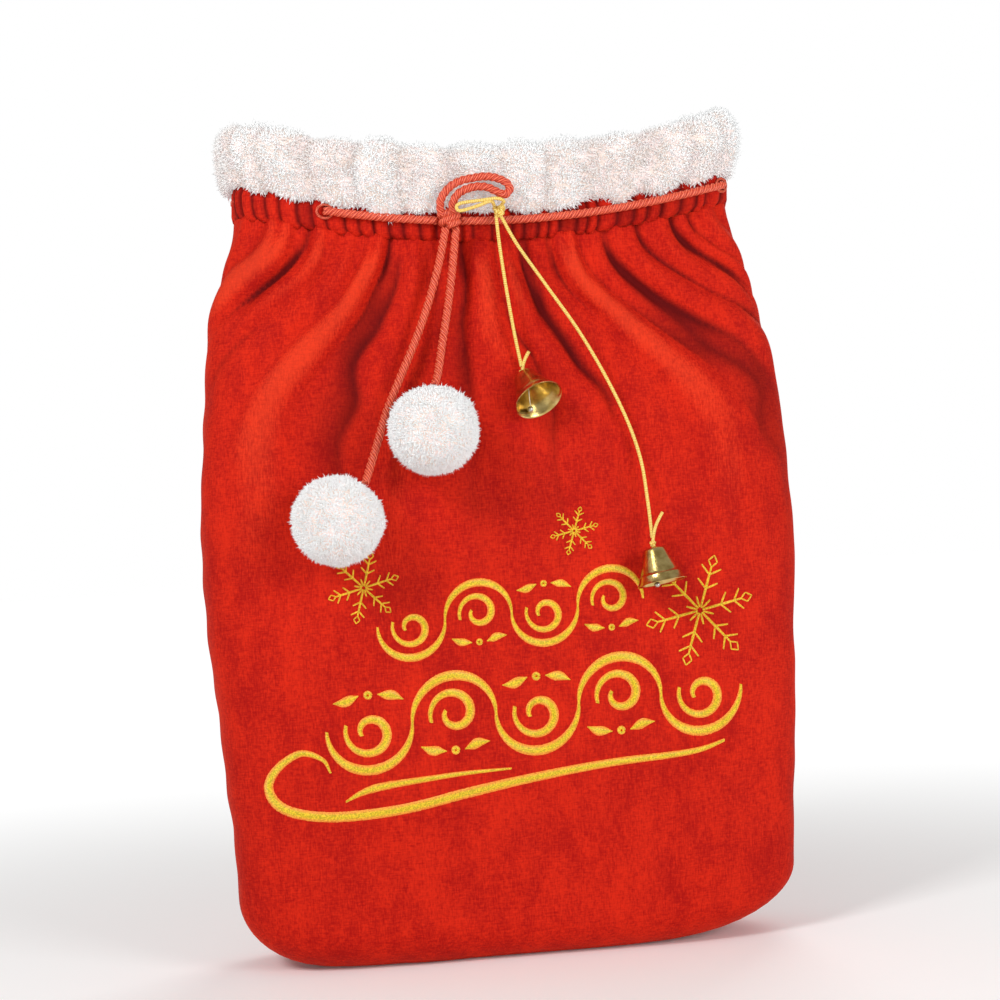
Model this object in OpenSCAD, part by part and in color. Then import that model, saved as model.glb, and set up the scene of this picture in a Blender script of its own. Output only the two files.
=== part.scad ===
// Fabric gift sack: a velvet sack with a plush cuff, closed by a twisted drawstring that
// carries two pompoms and two small bells. It stands on its base, filled out as in use.
// Origin: centre of the base. +Z up, the decorated front faces -Y, +X to the right.

/* [Sack] */
// Height of the whole sack, cuff included
sack_h = 700; // [560:10:840]
// Width across the fullest part
sack_w = 500; // [440:10:560]
// Depth from front to back when filled
sack_d = 150; // [140:5:180]
// Thickness of the lined velvet wall
wall = 3; // [2.5:0.5:4]
// Radius of the two bottom corners, seen from the front
corner_r = 58; // [40:2:70]
// Radius of the front and back bottom edges
foot_r = 30; // [20:2:36]
// How far the front of the mouth dips below its sides
front_dip = 30; // [0:2:36]
// How far the back of the mouth dips below its sides
back_dip = 10; // [0:2:20]

/* [Casing and cuff] */
// Height of the drawstring casing
casing_h = 23; // [20:1:28]
// Height of the plush cuff
cuff_h = 53; // [44:1:60]
// How far the plush cuff stands out from the neck
cuff_out = 19; // [14:1:22]

/* [Drawstring] */
// Diameter of the twisted drawstring cord
cord_d = 7; // [6:0.5:7.5]
// Radius of each pompom
pompom_r = 37; // [30:1:37]

/* [Bells] */
// Diameter of the gold elastic string
string_d = 3; // [2:0.2:3]
// Radius of a bell at its mouth
bell_r = 20.5; // [17:0.5:20.5]
// Height of a bell shell
bell_h = 29; // [25:1:29]
// Thickness of the bell's sheet metal
bell_wall = 1.2; // [1:0.1:1.5]
// Radius of the clapper's ball
clapper_r = 2.6; // [2:0.2:3.4]

/* [Embroidery] */
// Height of the satin stitch above the velvet
stitch_h = 1.2; // [0.8:0.2:1.6]

/* [Hidden] */

VELVET = [0.78, 0.10, 0.07];
VELVET_DARK = [0.60, 0.06, 0.05];
PLUSH = [0.98, 0.96, 0.93];
CORD = [0.86, 0.30, 0.20];
GOLD_STRING = [0.97, 0.82, 0.36];
GOLD_THREAD = [0.93, 0.66, 0.13];
BRASS = [0.80, 0.68, 0.42];

// Small clearance between surfaces that lie on each other
gap = 0.3;
// The seam where the velvet ends and the casing starts, at the sides
casing_z = sack_h - cuff_h - casing_h - gap;
cuff_z = casing_z + casing_h + gap;
// Height at which the mouth's dip starts to show
dip_from = 380;
// Offsets of the casing from the neck's outer face
casing_skin = 1.2;
casing_out = cord_d + 2 * casing_skin - wall + 0.8;
cord_in_off = (casing_out - wall) / 2;
cord_out_off = casing_out + gap + cord_d / 2;
cord_z = casing_z + 14;
steps = 28;
thread_gap = 0.6;
embroidery_depth = stitch_h + thread_gap;
// The back is fuller by the thickness of the stitching, so that the origin is central
back_swell = 1 + embroidery_depth / (sack_d / 2);

// ---------- the filled shape ----------

// Rows: share of the height to the casing, half width and half depth as shares of the
// sack's own, and the squareness of the cross-section
shape_rows = [
    [0.00, 0.930, 0.93, 4.6],
    [0.25, 0.962, 0.99, 4.6],
    [0.52, 1.000, 1.00, 4.6],
    [0.68, 0.990, 0.95, 4.4],
    [0.81, 0.955, 0.85, 4.0],
    [0.90, 0.900, 0.76, 3.5],
    [1.00, 0.836, 0.67, 3.0],
    [1.15, 0.830, 0.66, 3.0]
];

function clamp01(t) = min(1, max(0, t));
function smooth(t) = let (c = clamp01(t)) c * c * (3 - 2 * c);
function row_at(k) = shape_rows[min(len(shape_rows) - 1, max(0, k))];
function span_of(h, k = 0) =
    k >= len(shape_rows) - 2 || h < shape_rows[k + 1][0] ? k : span_of(h, k + 1);
function tangent(k, c) =
    (row_at(k + 1)[c] - row_at(k - 1)[c]) / (row_at(k + 1)[0] - row_at(k - 1)[0]);
function profile(z, c) =
    let (
        h = z / casing_z,
        k = span_of(h),
        d = row_at(k + 1)[0] - row_at(k)[0],
        t = clamp01((h - row_at(k)[0]) / d),
        p = row_at(k)[c],
        q = row_at(k + 1)[c]
    )
    p * (1 + 2 * t) * (1 - t) * (1 - t) + q * t * t * (3 - 2 * t)
    + d * (tangent(k, c) * t * (1 - t) * (1 - t) - tangent(k + 1, c) * t * t * (1 - t));

function rounding(z, r) = z >= r ? 0 : r - sqrt(r * r - (r - z) * (r - z));
function half_w(z, off = 0) = sack_w / 2 * profile(z, 1) + off - rounding(max(0, z), corner_r);
function half_d(z, off = 0) = sack_d / 2 * profile(z, 2) + off - rounding(max(0, z), foot_r);
function squareness(z) = profile(z, 3);
function power(v, e) = v <= 0 ? 0 : pow(v, e);

// The mouth's dip at a place, 0 below dip_from
function dip(x, side, z) =
    (side < 0 ? front_dip : back_dip)
    * (1 - min(1, pow(x / half_w(casing_z), 2))) * smooth((z - dip_from) / (casing_z - dip_from));

// A point of the filled shape: angle 0 is the right seam, 180 the left one
function skin(angle, z, off, side) =
    let (
        n = squareness(z),
        c = cos(angle),
        x = sign(c) * half_w(z, off) * power(abs(c), 2 / n),
        swell = side < 0 ? 1 : back_swell,
        y = side * swell * half_d(z, off) * power(sin(angle), 2 / n)
    )
    [x, y, z - dip(x, side, z)];

// Height before the dip of a point of the front that ends up at height z
function undipped(x, z, k = 4) = k == 0 ? z : z + dip(x, -1, undipped(x, z, k - 1));
function front_y(x, z, off = 0) =
    let (h = undipped(x, z), n = squareness(h))
    -half_d(h, off) * power(1 - power(min(1, abs(x) / half_w(h, off)), n), 1 / n);
function on_front(x, z, off) = [x, front_y(x, z, off), z];

// ---------- solids from rings of points ----------

function quad(a, b, c, d) = [[a, b, c], [a, c, d]];

// A closed solid through rings that each hold the same number of points
module ring_solid(rings) {
    n = len(rings[0]);
    last = len(rings) - 1;
    points = [for (r = rings) each r];
    walls = [
        for (k = [0 : last - 1], i = [0 : n - 1])
            each quad(k * n + i, k * n + (i + 1) % n, (k + 1) * n + (i + 1) % n, (k + 1) * n + i)
    ];
    caps = [[for (i = [n - 1 : -1 : 0]) i], [for (i = [0 : n - 1]) last * n + i]];
    polyhedron(points = points, faces = concat(walls, caps), convexity = 6);
}

// A quad as two triangles, cut along a-c, or along b-d where turned is true
function cut_quad(a, b, c, d, turned) = turned ? [[a, b, d], [b, c, d]] : quad(a, b, c, d);

// A shell between an outer and an inner sheet of points, both rows by columns. The
// diagonals change side half way along, so that none lies along the straight bottom seam
module shell_solid(outer, inner) {
    rows = len(outer);
    cols = len(outer[0]);
    half = (cols - 1) / 2;
    shift = rows * cols;
    points = concat([for (r = outer) each r], [for (r = inner) each r]);
    sheets = [
        for (k = [0 : rows - 2], i = [0 : cols - 2])
            let (a = k * cols + i, b = a + 1, c = b + cols, d = a + cols, early = i < half)
            each concat(
                cut_quad(a, b, c, d, !early),
                cut_quad(shift + d, shift + c, shift + b, shift + a, early)
            )
    ];
    ends = [
        for (k = [0 : rows - 2])
            let (a = k * cols, d = a + cols, e = a + cols - 1, f = e + cols)
            each concat(quad(a, d, shift + d, shift + a), quad(e, shift + e, shift + f, f))
    ];
    rims = [
        for (i = [0 : cols - 2])
            let (a = i, b = i + 1, e = (rows - 1) * cols + i, f = e + 1, early = i < half)
            each concat(
                cut_quad(a, shift + a, shift + b, b, early),
                quad(e, f, shift + f, shift + e)
            )
    ];
    polyhedron(points = points, faces = concat(sheets, ends, rims), convexity = 8);
}

function unit(v) = v / norm(v);
function path_dir(p, i) = unit(p[min(len(p) - 1, i + 1)] - p[max(0, i - 1)]);

// A round cord swept along points
module cord_tube(path, d, sides) {
    rings = [
        for (i = [0 : len(path) - 1])
            let (
                t = path_dir(path, i),
                ref = abs(t[1]) > 0.9 ? [1, 0, 0] : [0, 1, 0],
                u = unit(cross(t, ref)),
                v = cross(t, u)
            )
            [for (k = [0 : sides - 1])
                path[i] + d / 2 * (cos(360 * k / sides) * u + sin(360 * k / sides) * v)]
    ];
    ring_solid(rings);
}

// A flat satin-stitched stroke on the front: places are [x, z], widths one per place
function plane_dir(p, i) = unit(p[min(len(p) - 1, i + 1)] - p[max(0, i - 1)]);
module stitch_stroke(places, widths) {
    rings = [
        for (i = [0 : len(places) - 1])
            let (
                t = plane_dir(places, i),
                s = [-t[1], t[0]] * widths[i] / 2,
                a = places[i] + s,
                b = places[i] - s
            )
            [
                on_front(a[0], a[1], thread_gap),
                on_front(b[0], b[1], thread_gap),
                on_front(b[0], b[1], embroidery_depth),
                on_front(a[0], a[1], embroidery_depth)
            ]
    ];
    ring_solid(rings);
}

// ---------- velvet panels and seams ----------

// Heights of the rings, closer together where the bottom curls under
panel_heights = [
    0, 1.5, wall + 1, 9, 17, 27, 40, 58, 90, 130, 180, 235, 290, 340, 385,
    420, 455, 490, 520, 548, 574, 598, casing_z
];

// The floor inside the sack starts a little further in, where the bottom curls up
floor_inset = wall + 6;
function seam_line(z) =
    let (reach = half_w(0, -floor_inset))
    [for (i = [0 : steps]) [reach * cos(180 * i / steps), 0, z]];
function panel_ring(z, off, side) = [for (i = [0 : steps]) skin(180 * i / steps, z, off, side)];
function floor_ring(side) =
    [for (p = panel_ring(wall + 1, -floor_inset, side)) [p[0], p[1], wall]];

module panel(side) {
    outer = [for (z = panel_heights) panel_ring(z, 0, side)];
    inner = concat(
        [seam_line(0), seam_line(wall), floor_ring(side)],
        [for (k = [3 : len(panel_heights) - 1]) panel_ring(panel_heights[k], -wall, side)]
    );
    if (side < 0) mirror_faces(outer, inner);
    else shell_solid(outer, inner);
}
// The front half runs the other way round, so its rows are reversed to keep faces outward
module mirror_faces(outer, inner) {
    shell_solid(
        [for (r = outer) [for (i = [len(r) - 1 : -1 : 0]) r[i]]],
        [for (r = inner) [for (i = [len(r) - 1 : -1 : 0]) r[i]]]
    );
}

module front_panel() {
    color(VELVET) panel(-1);
}
module back_panel() {
    color(VELVET) panel(1);
}

// Overlocked seam allowances, inside the sack along the joins
seam_w = 9;
seam_t = 1.6;
module side_seam(dir) {
    heights = [for (k = [6 : len(panel_heights) - 1]) panel_heights[k]];
    rings = [
        for (z = heights)
            let (a = half_w(z, -wall - gap))
            [
                [dir * a, dir * seam_t / 2, z],
                [dir * (a - seam_w), dir * seam_t / 2, z],
                [dir * (a - seam_w), -dir * seam_t / 2, z],
                [dir * a, -dir * seam_t / 2, z]
            ]
    ];
    color(VELVET_DARK) ring_solid(rings);
}
module side_seam_left() {
    side_seam(-1);
}
module side_seam_right() {
    side_seam(1);
}
module bottom_seam() {
    reach = half_w(wall + 1) - 25;
    color(VELVET_DARK)
        translate([-reach, -seam_t / 2, wall + gap])
            cube([2 * reach, seam_t, seam_w]);
}

// The stabiliser sheet behind the embroidery, inside the front panel
backing_x = [-212, 220];
backing_z = [100, 385];
module embroidery_backing() {
    cols = 24;
    rows = 8;
    function spread(lim, i, n) = lim[0] + (lim[1] - lim[0]) * i / n;
    function layer(off) = [
        for (k = [0 : rows])
            [for (i = [0 : cols])
                on_front(spread(backing_x, i, cols), spread(backing_z, k, rows), off)]
    ];
    color("white") shell_solid(layer(-wall - 2 * gap), layer(-wall - 2 * gap - 0.8));
}

// ---------- drawstring casing ----------

// Where the cord leaves the casing through its two buttonholes
exit_left_x = -137;
exit_right_x = 203;
function exit_angle(x) = acos(sign(x) * pow(abs(x) / half_w(cord_z, casing_out), squareness(cord_z) / 2));

function casing_section(angle, side, slotted) =
    let (top = slotted ? cord_z - cord_d / 2 - gap : cuff_z - gap)
    [
        skin(angle, casing_z + gap, -wall, side),
        skin(angle, casing_z + gap, casing_out, side),
        skin(angle, top, casing_out, side),
        skin(angle, top, casing_out - casing_skin, side),
        skin(angle, casing_z + gap + casing_skin, casing_out - casing_skin, side),
        skin(angle, casing_z + gap + casing_skin, casing_skin - wall, side),
        skin(angle, cuff_z - gap, casing_skin - wall, side),
        skin(angle, cuff_z - gap, -wall, side)
    ];
slot_deg = 3.4;
function front_stops() =
    let (l = exit_angle(exit_left_x), r = exit_angle(exit_right_x))
    [
        for (i = [0 : steps]) if (180 * i / steps < r - slot_deg - 2) [180 * i / steps, false],
        [r - slot_deg, false], [r - slot_deg + 0.4, true], [r + slot_deg - 0.4, true],
        [r + slot_deg, false],
        for (i = [0 : steps])
            if (180 * i / steps > r + slot_deg + 2 && 180 * i / steps < l - slot_deg - 2)
                [180 * i / steps, false],
        [l - slot_deg, false], [l - slot_deg + 0.4, true], [l + slot_deg - 0.4, true],
        [l + slot_deg, false],
        for (i = [0 : steps]) if (180 * i / steps > l + slot_deg + 2) [180 * i / steps, false]
    ];
module casing_front() {
    color(VELVET)
        ring_solid([for (s = front_stops()) casing_section(s[0], -1, s[1])]);
}
module casing_back() {
    color(VELVET)
        ring_solid([for (i = [steps : -1 : 0]) casing_section(180 * i / steps, 1, false)]);
}

// Buttonhole stitching round the slots
module eyelet(x) {
    a = exit_angle(x);
    spread_z = cord_d / 2 + 2.2;
    spread_a = slot_deg + 0.9;
    ring_points = [
        for (k = [0 : 16])
            let (t = 360 * k / 16)
            skin(a + spread_a * cos(t), cord_z + spread_z * sin(t), casing_out + 1.1, -1)
    ];
    rings = [
        for (i = [0 : 15])
            let (
                p = ring_points[i],
                t = unit(ring_points[i + 1] - ring_points[(i + 15) % 16]),
                out = unit([p[0] / pow(sack_w / 2, 2), p[1] / pow(sack_d / 2, 2), 0]),
                s = unit(cross(t, out)),
                o = cross(s, t)
            )
            [for (q = [0 : 5]) p + 0.9 * (cos(60 * q) * s + sin(60 * q) * o)]
    ];
    n = 6;
    color(VELVET_DARK)
        polyhedron(
            points = [for (r = rings) each r],
            faces = [
                for (k = [0 : 15], i = [0 : n - 1])
                    let (m = (k + 1) % 16)
                    each quad(k * n + i, k * n + (i + 1) % n, m * n + (i + 1) % n, m * n + i)
            ]
        );
}
module eyelet_left() {
    eyelet(exit_left_x);
}
module eyelet_right() {
    eyelet(exit_right_x);
}

// ---------- plush cuff ----------

// Rounded cross-section of the folded plush strip: [offset, share of its height]
cuff_section = [
    [-wall, 0.00], [8, 0.00], [14, 0.05], [18, 0.16], [cuff_out, 0.35], [cuff_out, 0.62],
    [17, 0.82], [12, 0.94], [5, 1.00], [-2, 0.97], [-6, 0.86], [-7, 0.60], [-7, 0.20], [-6, 0.04]
];
module cuff(side) {
    angles = [for (i = [0 : steps]) side < 0 ? 180 * i / steps : 180 - 180 * i / steps];
    color(PLUSH)
        ring_solid([
            for (a = angles)
                [for (p = cuff_section) skin(a, cuff_z + cuff_h * p[1], p[0], side)]
        ]);
}
module fur_cuff_front() {
    cuff(-1);
}
module fur_cuff_back() {
    cuff(1);
}

// ---------- drawstring ----------

// Height of the cord in front, over the casing
function cord_on_front(x) =
    let (p = [x, 0, cord_z - dip(x, -1, cord_z)]) [x, front_y(x, p[2], cord_out_off), p[2]];

module drawstring_inside() {
    left = exit_angle(exit_left_x) + slot_deg + 1;
    right = exit_angle(exit_right_x) - slot_deg - 1;
    front_l = [for (i = [0 : steps]) if (180 * i / steps > left) 180 * i / steps];
    front_r = [for (i = [steps : -1 : 0]) if (180 * i / steps < right) 180 * i / steps];
    route = concat(
        [skin(left, cord_z, cord_in_off, -1)],
        [for (a = front_l) skin(a, cord_z, cord_in_off, -1)],
        [for (i = [steps - 1 : -1 : 1]) skin(180 * i / steps, cord_z, cord_in_off, 1)],
        [for (i = [len(front_r) - 1 : -1 : 0]) skin(front_r[i], cord_z, cord_in_off, -1)],
        [skin(right, cord_z, cord_in_off, -1)]
    );
    color(CORD) cord_tube(route, cord_d - 0.4, 8);
}

knot_x = -36;
knot_r = 9;
knot_z = [602, 616];
knot_y = -66.5;

left_stretch_x = [-137, -126, -112, -96, -79, -62, -46];
right_stretch_x = [-26, -6, 14, 38, 65, 90, 115, 140, 165, 185, 203];
module front_stretch(xs) {
    color(CORD) cord_tube([for (x = xs) cord_on_front(x)], cord_d, 10);
}
module drawstring_front_left() {
    front_stretch(left_stretch_x);
}
module drawstring_front_right() {
    front_stretch(right_stretch_x);
}

module drawstring_knot() {
    span = knot_z[1] - knot_z[0];
    color(CORD)
        translate([knot_x, knot_y, knot_z[0]])
            rotate_extrude($fn = 48)
                polygon([
                    [0, 0], [0.55 * knot_r, 0], [0.9 * knot_r, 0.15 * span],
                    [knot_r, 0.4 * span], [knot_r, 0.65 * span], [0.8 * knot_r, 0.9 * span],
                    [0.5 * knot_r, span], [0, span]
                ]);
}

// The doubled loop that rises from the knot and bends to the right, with an open eye
bow_route = [
    [-43, -69, 611], [-44, -73, 621], [-41, -76, 628], [-35, -77, 634], [-27, -77, 638],
    [-17, -77, 640], [-6, -77, 641], [4, -77, 639], [11, -77, 635], [13, -77, 630],
    [9, -77, 626], [3, -77, 628], [-5, -77, 632], [-14, -77, 633], [-23, -77, 631],
    [-30, -76, 627], [-34, -74, 620], [-34, -69, 611]
];
module bow_loop() {
    color(CORD) cord_tube(bow_route, cord_d, 8);
}

// Gold elastic: a flat loop round the bow, ending in the knot that both strings leave
gold_route = [
    [0, -74, 618], [-4, -82, 620], [-16, -83, 616], [-29, -82, 613], [-32, -82, 616],
    [-28, -83, 619], [-10, -83, 621], [1, -83, 622], [7, -81, 620], [6, -75, 618]
];
module gold_loop() {
    color(GOLD_STRING) cord_tube(gold_route, string_d, 8);
}
gold_knot_at = [4, -72, 614];
module gold_knot() {
    color(GOLD_STRING)
        translate(gold_knot_at)
            sphere(r = 4, $fn = 48);
}

// The two tails: each starts just under the knot and ends in its pompom
tail_left_route = [
    [-41, -67, 597], [-47, -68, 573], [-58, -71, 540], [-70, -75, 511], [-84, -80, 482],
    [-97, -87, 455], [-107, -94, 428], [-115, -100, 407], [-119, -104, 397]
];
tail_right_route = [
    [-32, -67, 597], [-36, -68, 570], [-42, -73, 538], [-49, -81, 508], [-55, -91, 483],
    [-59, -97, 472]
];
pompom_left_at = [-142, -111, 367];
pompom_right_at = [-63, -109, 436];

module tail_left() {
    color(CORD) cord_tube(tail_left_route, cord_d, 8);
}
module tail_right() {
    color(CORD) cord_tube(tail_right_route, cord_d, 8);
}
module pompom(at) {
    color(PLUSH)
        translate(at)
            sphere(r = pompom_r, $fn = 96);
}
module pompom_left() {
    pompom(pompom_left_at);
}
module pompom_right() {
    pompom(pompom_right_at);
}
// The overhand knot that holds the yarn, at the middle of each pompom
module pompom_core(at) {
    color(CORD)
        translate(at)
            sphere(r = cord_d, $fn = 48);
}
module pompom_core_left() {
    pompom_core(pompom_left_at);
}
module pompom_core_right() {
    pompom_core(pompom_right_at);
}

// ---------- bells ----------

string_left_route = [
    [1.5, -72, 607], [3, -72, 585], [6.5, -73, 550], [11, -73, 515], [15.5, -74, 486]
];
string_right_route = [
    [6.5, -72, 607], [18, -72, 585], [40, -73, 551], [64, -74, 514], [84, -76, 476],
    [100, -79, 438], [109, -82, 405], [112, -86, 372], [113, -92, 341]
];
bell_left_hang = [16, -74, 481];
bell_right_hang = [113, -93, 336];
bell_left_turn = [-42, 0, 25];
bell_right_turn = [-8, -9, 0];
hang_r = 2.8;

module bell_string_left() {
    color(GOLD_STRING) cord_tube(string_left_route, string_d, 8);
}
module bell_string_right() {
    color(GOLD_STRING) cord_tube(string_right_route, string_d, 8);
}
// A tight knot with a short cut end that points up and to the right
module string_knot(at, end_l) {
    color(GOLD_STRING)
        translate(at) {
            sphere(r = hang_r, $fn = 48);
            rotate([0, 20, 0])
                cylinder(r = string_d / 2, h = end_l, $fn = 24);
        }
}
module string_knot_left() {
    string_knot(bell_left_hang, 18);
}
module string_knot_right() {
    string_knot(bell_right_hang, 27);
}

// Outline of the shell in its own frame: hung from the origin, mouth down
crown_z = -hang_r - 0.5;
mouth_z = crown_z - bell_h;
hole_r = 1.6;
crown_r = 0.41 * bell_r;
lip_h = 0.25 * bell_h;
module bell_shell() {
    waist_r = 0.62 * bell_r;
    ridge_r = 0.80 * bell_r;
    rotate_extrude($fn = 96)
        polygon([
            [hole_r, crown_z], [crown_r, crown_z], [crown_r + 1, crown_z - 1],
            [waist_r, crown_z - 0.42 * bell_h], [ridge_r, mouth_z + lip_h],
            [ridge_r + 0.9, mouth_z + lip_h - 0.6], [bell_r, mouth_z],
            [bell_r - bell_wall, mouth_z], [ridge_r - bell_wall, mouth_z + lip_h],
            [waist_r - bell_wall, crown_z - 0.42 * bell_h],
            [crown_r + 0.6 - bell_wall, crown_z - bell_wall], [hole_r, crown_z - bell_wall]
        ]);
}
module place_bell(at, turn) {
    translate(at)
        rotate(turn)
            children();
}
module bell_left() {
    color(BRASS) place_bell(bell_left_hang, bell_left_turn) bell_shell();
}
module bell_right() {
    color(BRASS) place_bell(bell_right_hang, bell_right_turn) bell_shell();
}

// Direction from a bell's hanging point to its mouth
function mouth_dir(turn) =
    let (
        x = -cos(turn[0]) * sin(turn[1]),
        y = sin(turn[0]),
        z = -cos(turn[0]) * cos(turn[1])
    )
    [x * cos(turn[2]) - y * sin(turn[2]), x * sin(turn[2]) + y * cos(turn[2]), z];

// The clapper hangs from a wire hook under the crown and can swing to the wall
clapper_drop = 7;
pivot_depth = hang_r + 0.5 + clapper_drop;
clapper_l = bell_h - clapper_drop + 1;
wire_r = 0.7;
module clapper_hook() {
    color("silver") {
        translate([0, 0, crown_z - bell_wall - 0.6])
            cylinder(r = 3, h = 0.6, $fn = 32);
        translate([0, 0, 1.5 - pivot_depth])
            cylinder(r = wire_r, h = pivot_depth - 1.5 + crown_z - bell_wall - 0.3, $fn = 24);
    }
}
module clapper_hook_left() {
    place_bell(bell_left_hang, bell_left_turn) clapper_hook();
}
module clapper_hook_right() {
    place_bell(bell_right_hang, bell_right_turn) clapper_hook();
}
module clapper(hang, turn, lean) {
    color("silver")
        translate(hang + pivot_depth * mouth_dir(turn))
            rotate(lean) {
                translate([0, 0, 1 - clapper_l])
                    cylinder(r = wire_r, h = clapper_l, $fn = 24);
                translate([0, 0, -clapper_l])
                    sphere(r = clapper_r, $fn = 48);
            }
}
// At rest one clapper lies near the low wall of its tilted bell, the other hangs plumb
module clapper_left() {
    clapper(bell_left_hang, bell_left_turn, [-6, 0, bell_left_turn[2]]);
}
module clapper_right() {
    clapper(bell_right_hang, bell_right_turn, [0, 0, 0]);
}

// ---------- embroidery ----------

function polar(centre, r, a) = centre + r * [cos(a), sin(a)];
module straight_stroke(from, to, w) {
    stitch_stroke([from, (from + to) / 2, to], [w, w, w]);
}
// Six arms, each with pairs of slanted branches, listed as [share along the arm, length]
module snowflake(centre, r, turn, w, branches) {
    color(GOLD_THREAD)
        for (k = [0 : 5]) {
            a = turn + 60 * k;
            straight_stroke(polar(centre, 0.12 * r, a), polar(centre, r, a), w);
            for (b = branches, s = [-1, 1]) {
                root = polar(polar(centre, b[0] * r, a), 0.62 * w, a + 90 * s);
                straight_stroke(
                    polar(root, 0.2 * w, a + 52 * s), polar(root, b[1] * r, a + 52 * s), 0.85 * w
                );
            }
        }
}
module snowflake_small() {
    snowflake([52, 350], 20, 12, 2.2, [[0.45, 0.24], [0.72, 0.26]]);
}
module snowflake_left() {
    snowflake([-123, 313], 29, 15, 2.6, [[0.45, 0.26], [0.72, 0.26]]);
}
module snowflake_large() {
    snowflake([154, 279], 46, 12, 3, [[0.45, 0.26], [0.72, 0.26]]);
}

// A tapering curl: starts at a point and winds inwards
function curl(centre, r0, r1, a0, turn, n = 14) = [
    for (i = [0 : n])
        let (t = i / n) polar(centre, r0 + (r1 - r0) * t, a0 + turn * t)
];
function swell(n, low, high) = [for (i = [0 : n]) low + (high - low) * sin(180 * i / n)];
module curl_stroke(centre, r0, r1, a0, turn, w) {
    n = 14;
    stitch_stroke(curl(centre, r0, r1, a0, turn, n), swell(n, 0.3 * w, w));
}
module leaf(at, l, a, w) {
    n = 6;
    stitch_stroke([for (i = [0 : n]) polar(at, l * i / n, a)], swell(n, 0.12 * w, w));
}
module berry(at, r) {
    n = 6;
    stitch_stroke(
        [for (i = [0 : n]) at + [r * cos(180 - 180 * i / n), 0]],
        [for (i = [0 : n]) max(0.6, 2 * r * sin(180 * i / n))]
    );
}

// A running scroll: the stem is a row of half circles that arch down and up in turn. Inside
// each sits a curl, and on its open side a berry between two leaves. The half circle numbered
// bare has neither, because a snowflake is sewn there.
row_rise = 0.05;
function on_row(first, dx, dz) = first + [dx, row_rise * dx + dz];
function arch_up(k) = k % 2 == 0 ? -1 : 1;
function stem_line(first, r, count, n = 10) = [
    for (k = [0 : count - 1], i = [(k == 0 ? 0 : 1) : n])
        let (a = 180 - 180 * i / n)
        on_row(first, 2 * r * k + r * cos(a), arch_up(k) * r * sin(a))
];
function stem_width(r, count, n = 10) = [
    for (k = [0 : count - 1], i = [(k == 0 ? 0 : 1) : n]) r * (0.08 + 0.16 * sin(180 * i / n))
];
module running_scroll(first, r, count, bare) {
    stitch_stroke(stem_line(first, r, count), stem_width(r, count));
    for (k = [0 : count - 1]) {
        up = arch_up(k);
        middle = 2 * r * k;
        low = -0.76 * up * r;
        curl_stroke(
            on_row(first, middle, 0.12 * up * r), 0.58 * r, 0.2 * r, up * 200, -up * 400, 0.22 * r
        );
        if (k != bare) {
            berry(on_row(first, middle, low), 0.11 * r);
            leaf(on_row(first, middle + 0.22 * r, low), 0.62 * r, up * 14, 0.2 * r);
            leaf(on_row(first, middle - 0.22 * r, low), 0.62 * r, 180 - up * 14, 0.2 * r);
        }
    }
}
module scroll_upper() {
    color(GOLD_THREAD) running_scroll([-86, 282], 27.5, 4, 0);
}
module scroll_lower() {
    color(GOLD_THREAD) running_scroll([-124, 200], 34.5, 5, 4);
}

// The long underline with a hooked start, and the shorter stroke above it
swash_route = [
    [-157, 165], [-163, 176], [-180, 182], [-198, 172], [-207, 157], [-201, 142], [-183, 133],
    [-151, 129], [-103, 132], [-45, 142], [13, 151], [72, 158], [124, 161], [150, 164], [170, 170]
];
swash_width = [2, 4, 6, 7, 8, 9, 9, 9, 9, 9, 8, 7, 6, 5, 3];
short_route = [
    [-146, 141], [-134, 147], [-120, 151], [-98, 154], [-75, 156], [-45, 158], [-10, 159]
];
short_width = [2, 5, 7, 6, 5, 4, 2];
module underline_swash() {
    color(GOLD_THREAD) {
        stitch_stroke(swash_route, swash_width);
        stitch_stroke(short_route, short_width);
    }
}

front_panel();
back_panel();
side_seam_left();
side_seam_right();
bottom_seam();
embroidery_backing();
casing_front();
casing_back();
eyelet_left();
eyelet_right();
fur_cuff_front();
fur_cuff_back();
drawstring_inside();
drawstring_front_left();
drawstring_front_right();
drawstring_knot();
bow_loop();
gold_loop();
gold_knot();
tail_left();
tail_right();
pompom_left();
pompom_right();
pompom_core_left();
pompom_core_right();
bell_string_left();
bell_string_right();
string_knot_left();
string_knot_right();
bell_left();
bell_right();
clapper_hook_left();
clapper_hook_right();
clapper_left();
clapper_right();
snowflake_small();
snowflake_left();
snowflake_large();
scroll_upper();
scroll_lower();
underline_swash();
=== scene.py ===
# %% [markdown]
# # A velvet gift sack with a plush cuff
# The sack is sewn from red velvet, gathered at its mouth by a drawstring that runs through a
# casing, and finished with a white plush cuff, two pompoms, two small bells on gold elastic and
# gold embroidery. A plain working model of every piece comes first: it holds the sizes and the
# joints. This lesson gives each piece its real surface and finish, in the same place.

# %% Load the working model
import math

import bpy
import numpy as np
from mathutils import Euler, Matrix, Vector
from mathutils.bvhtree import BVHTree


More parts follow.
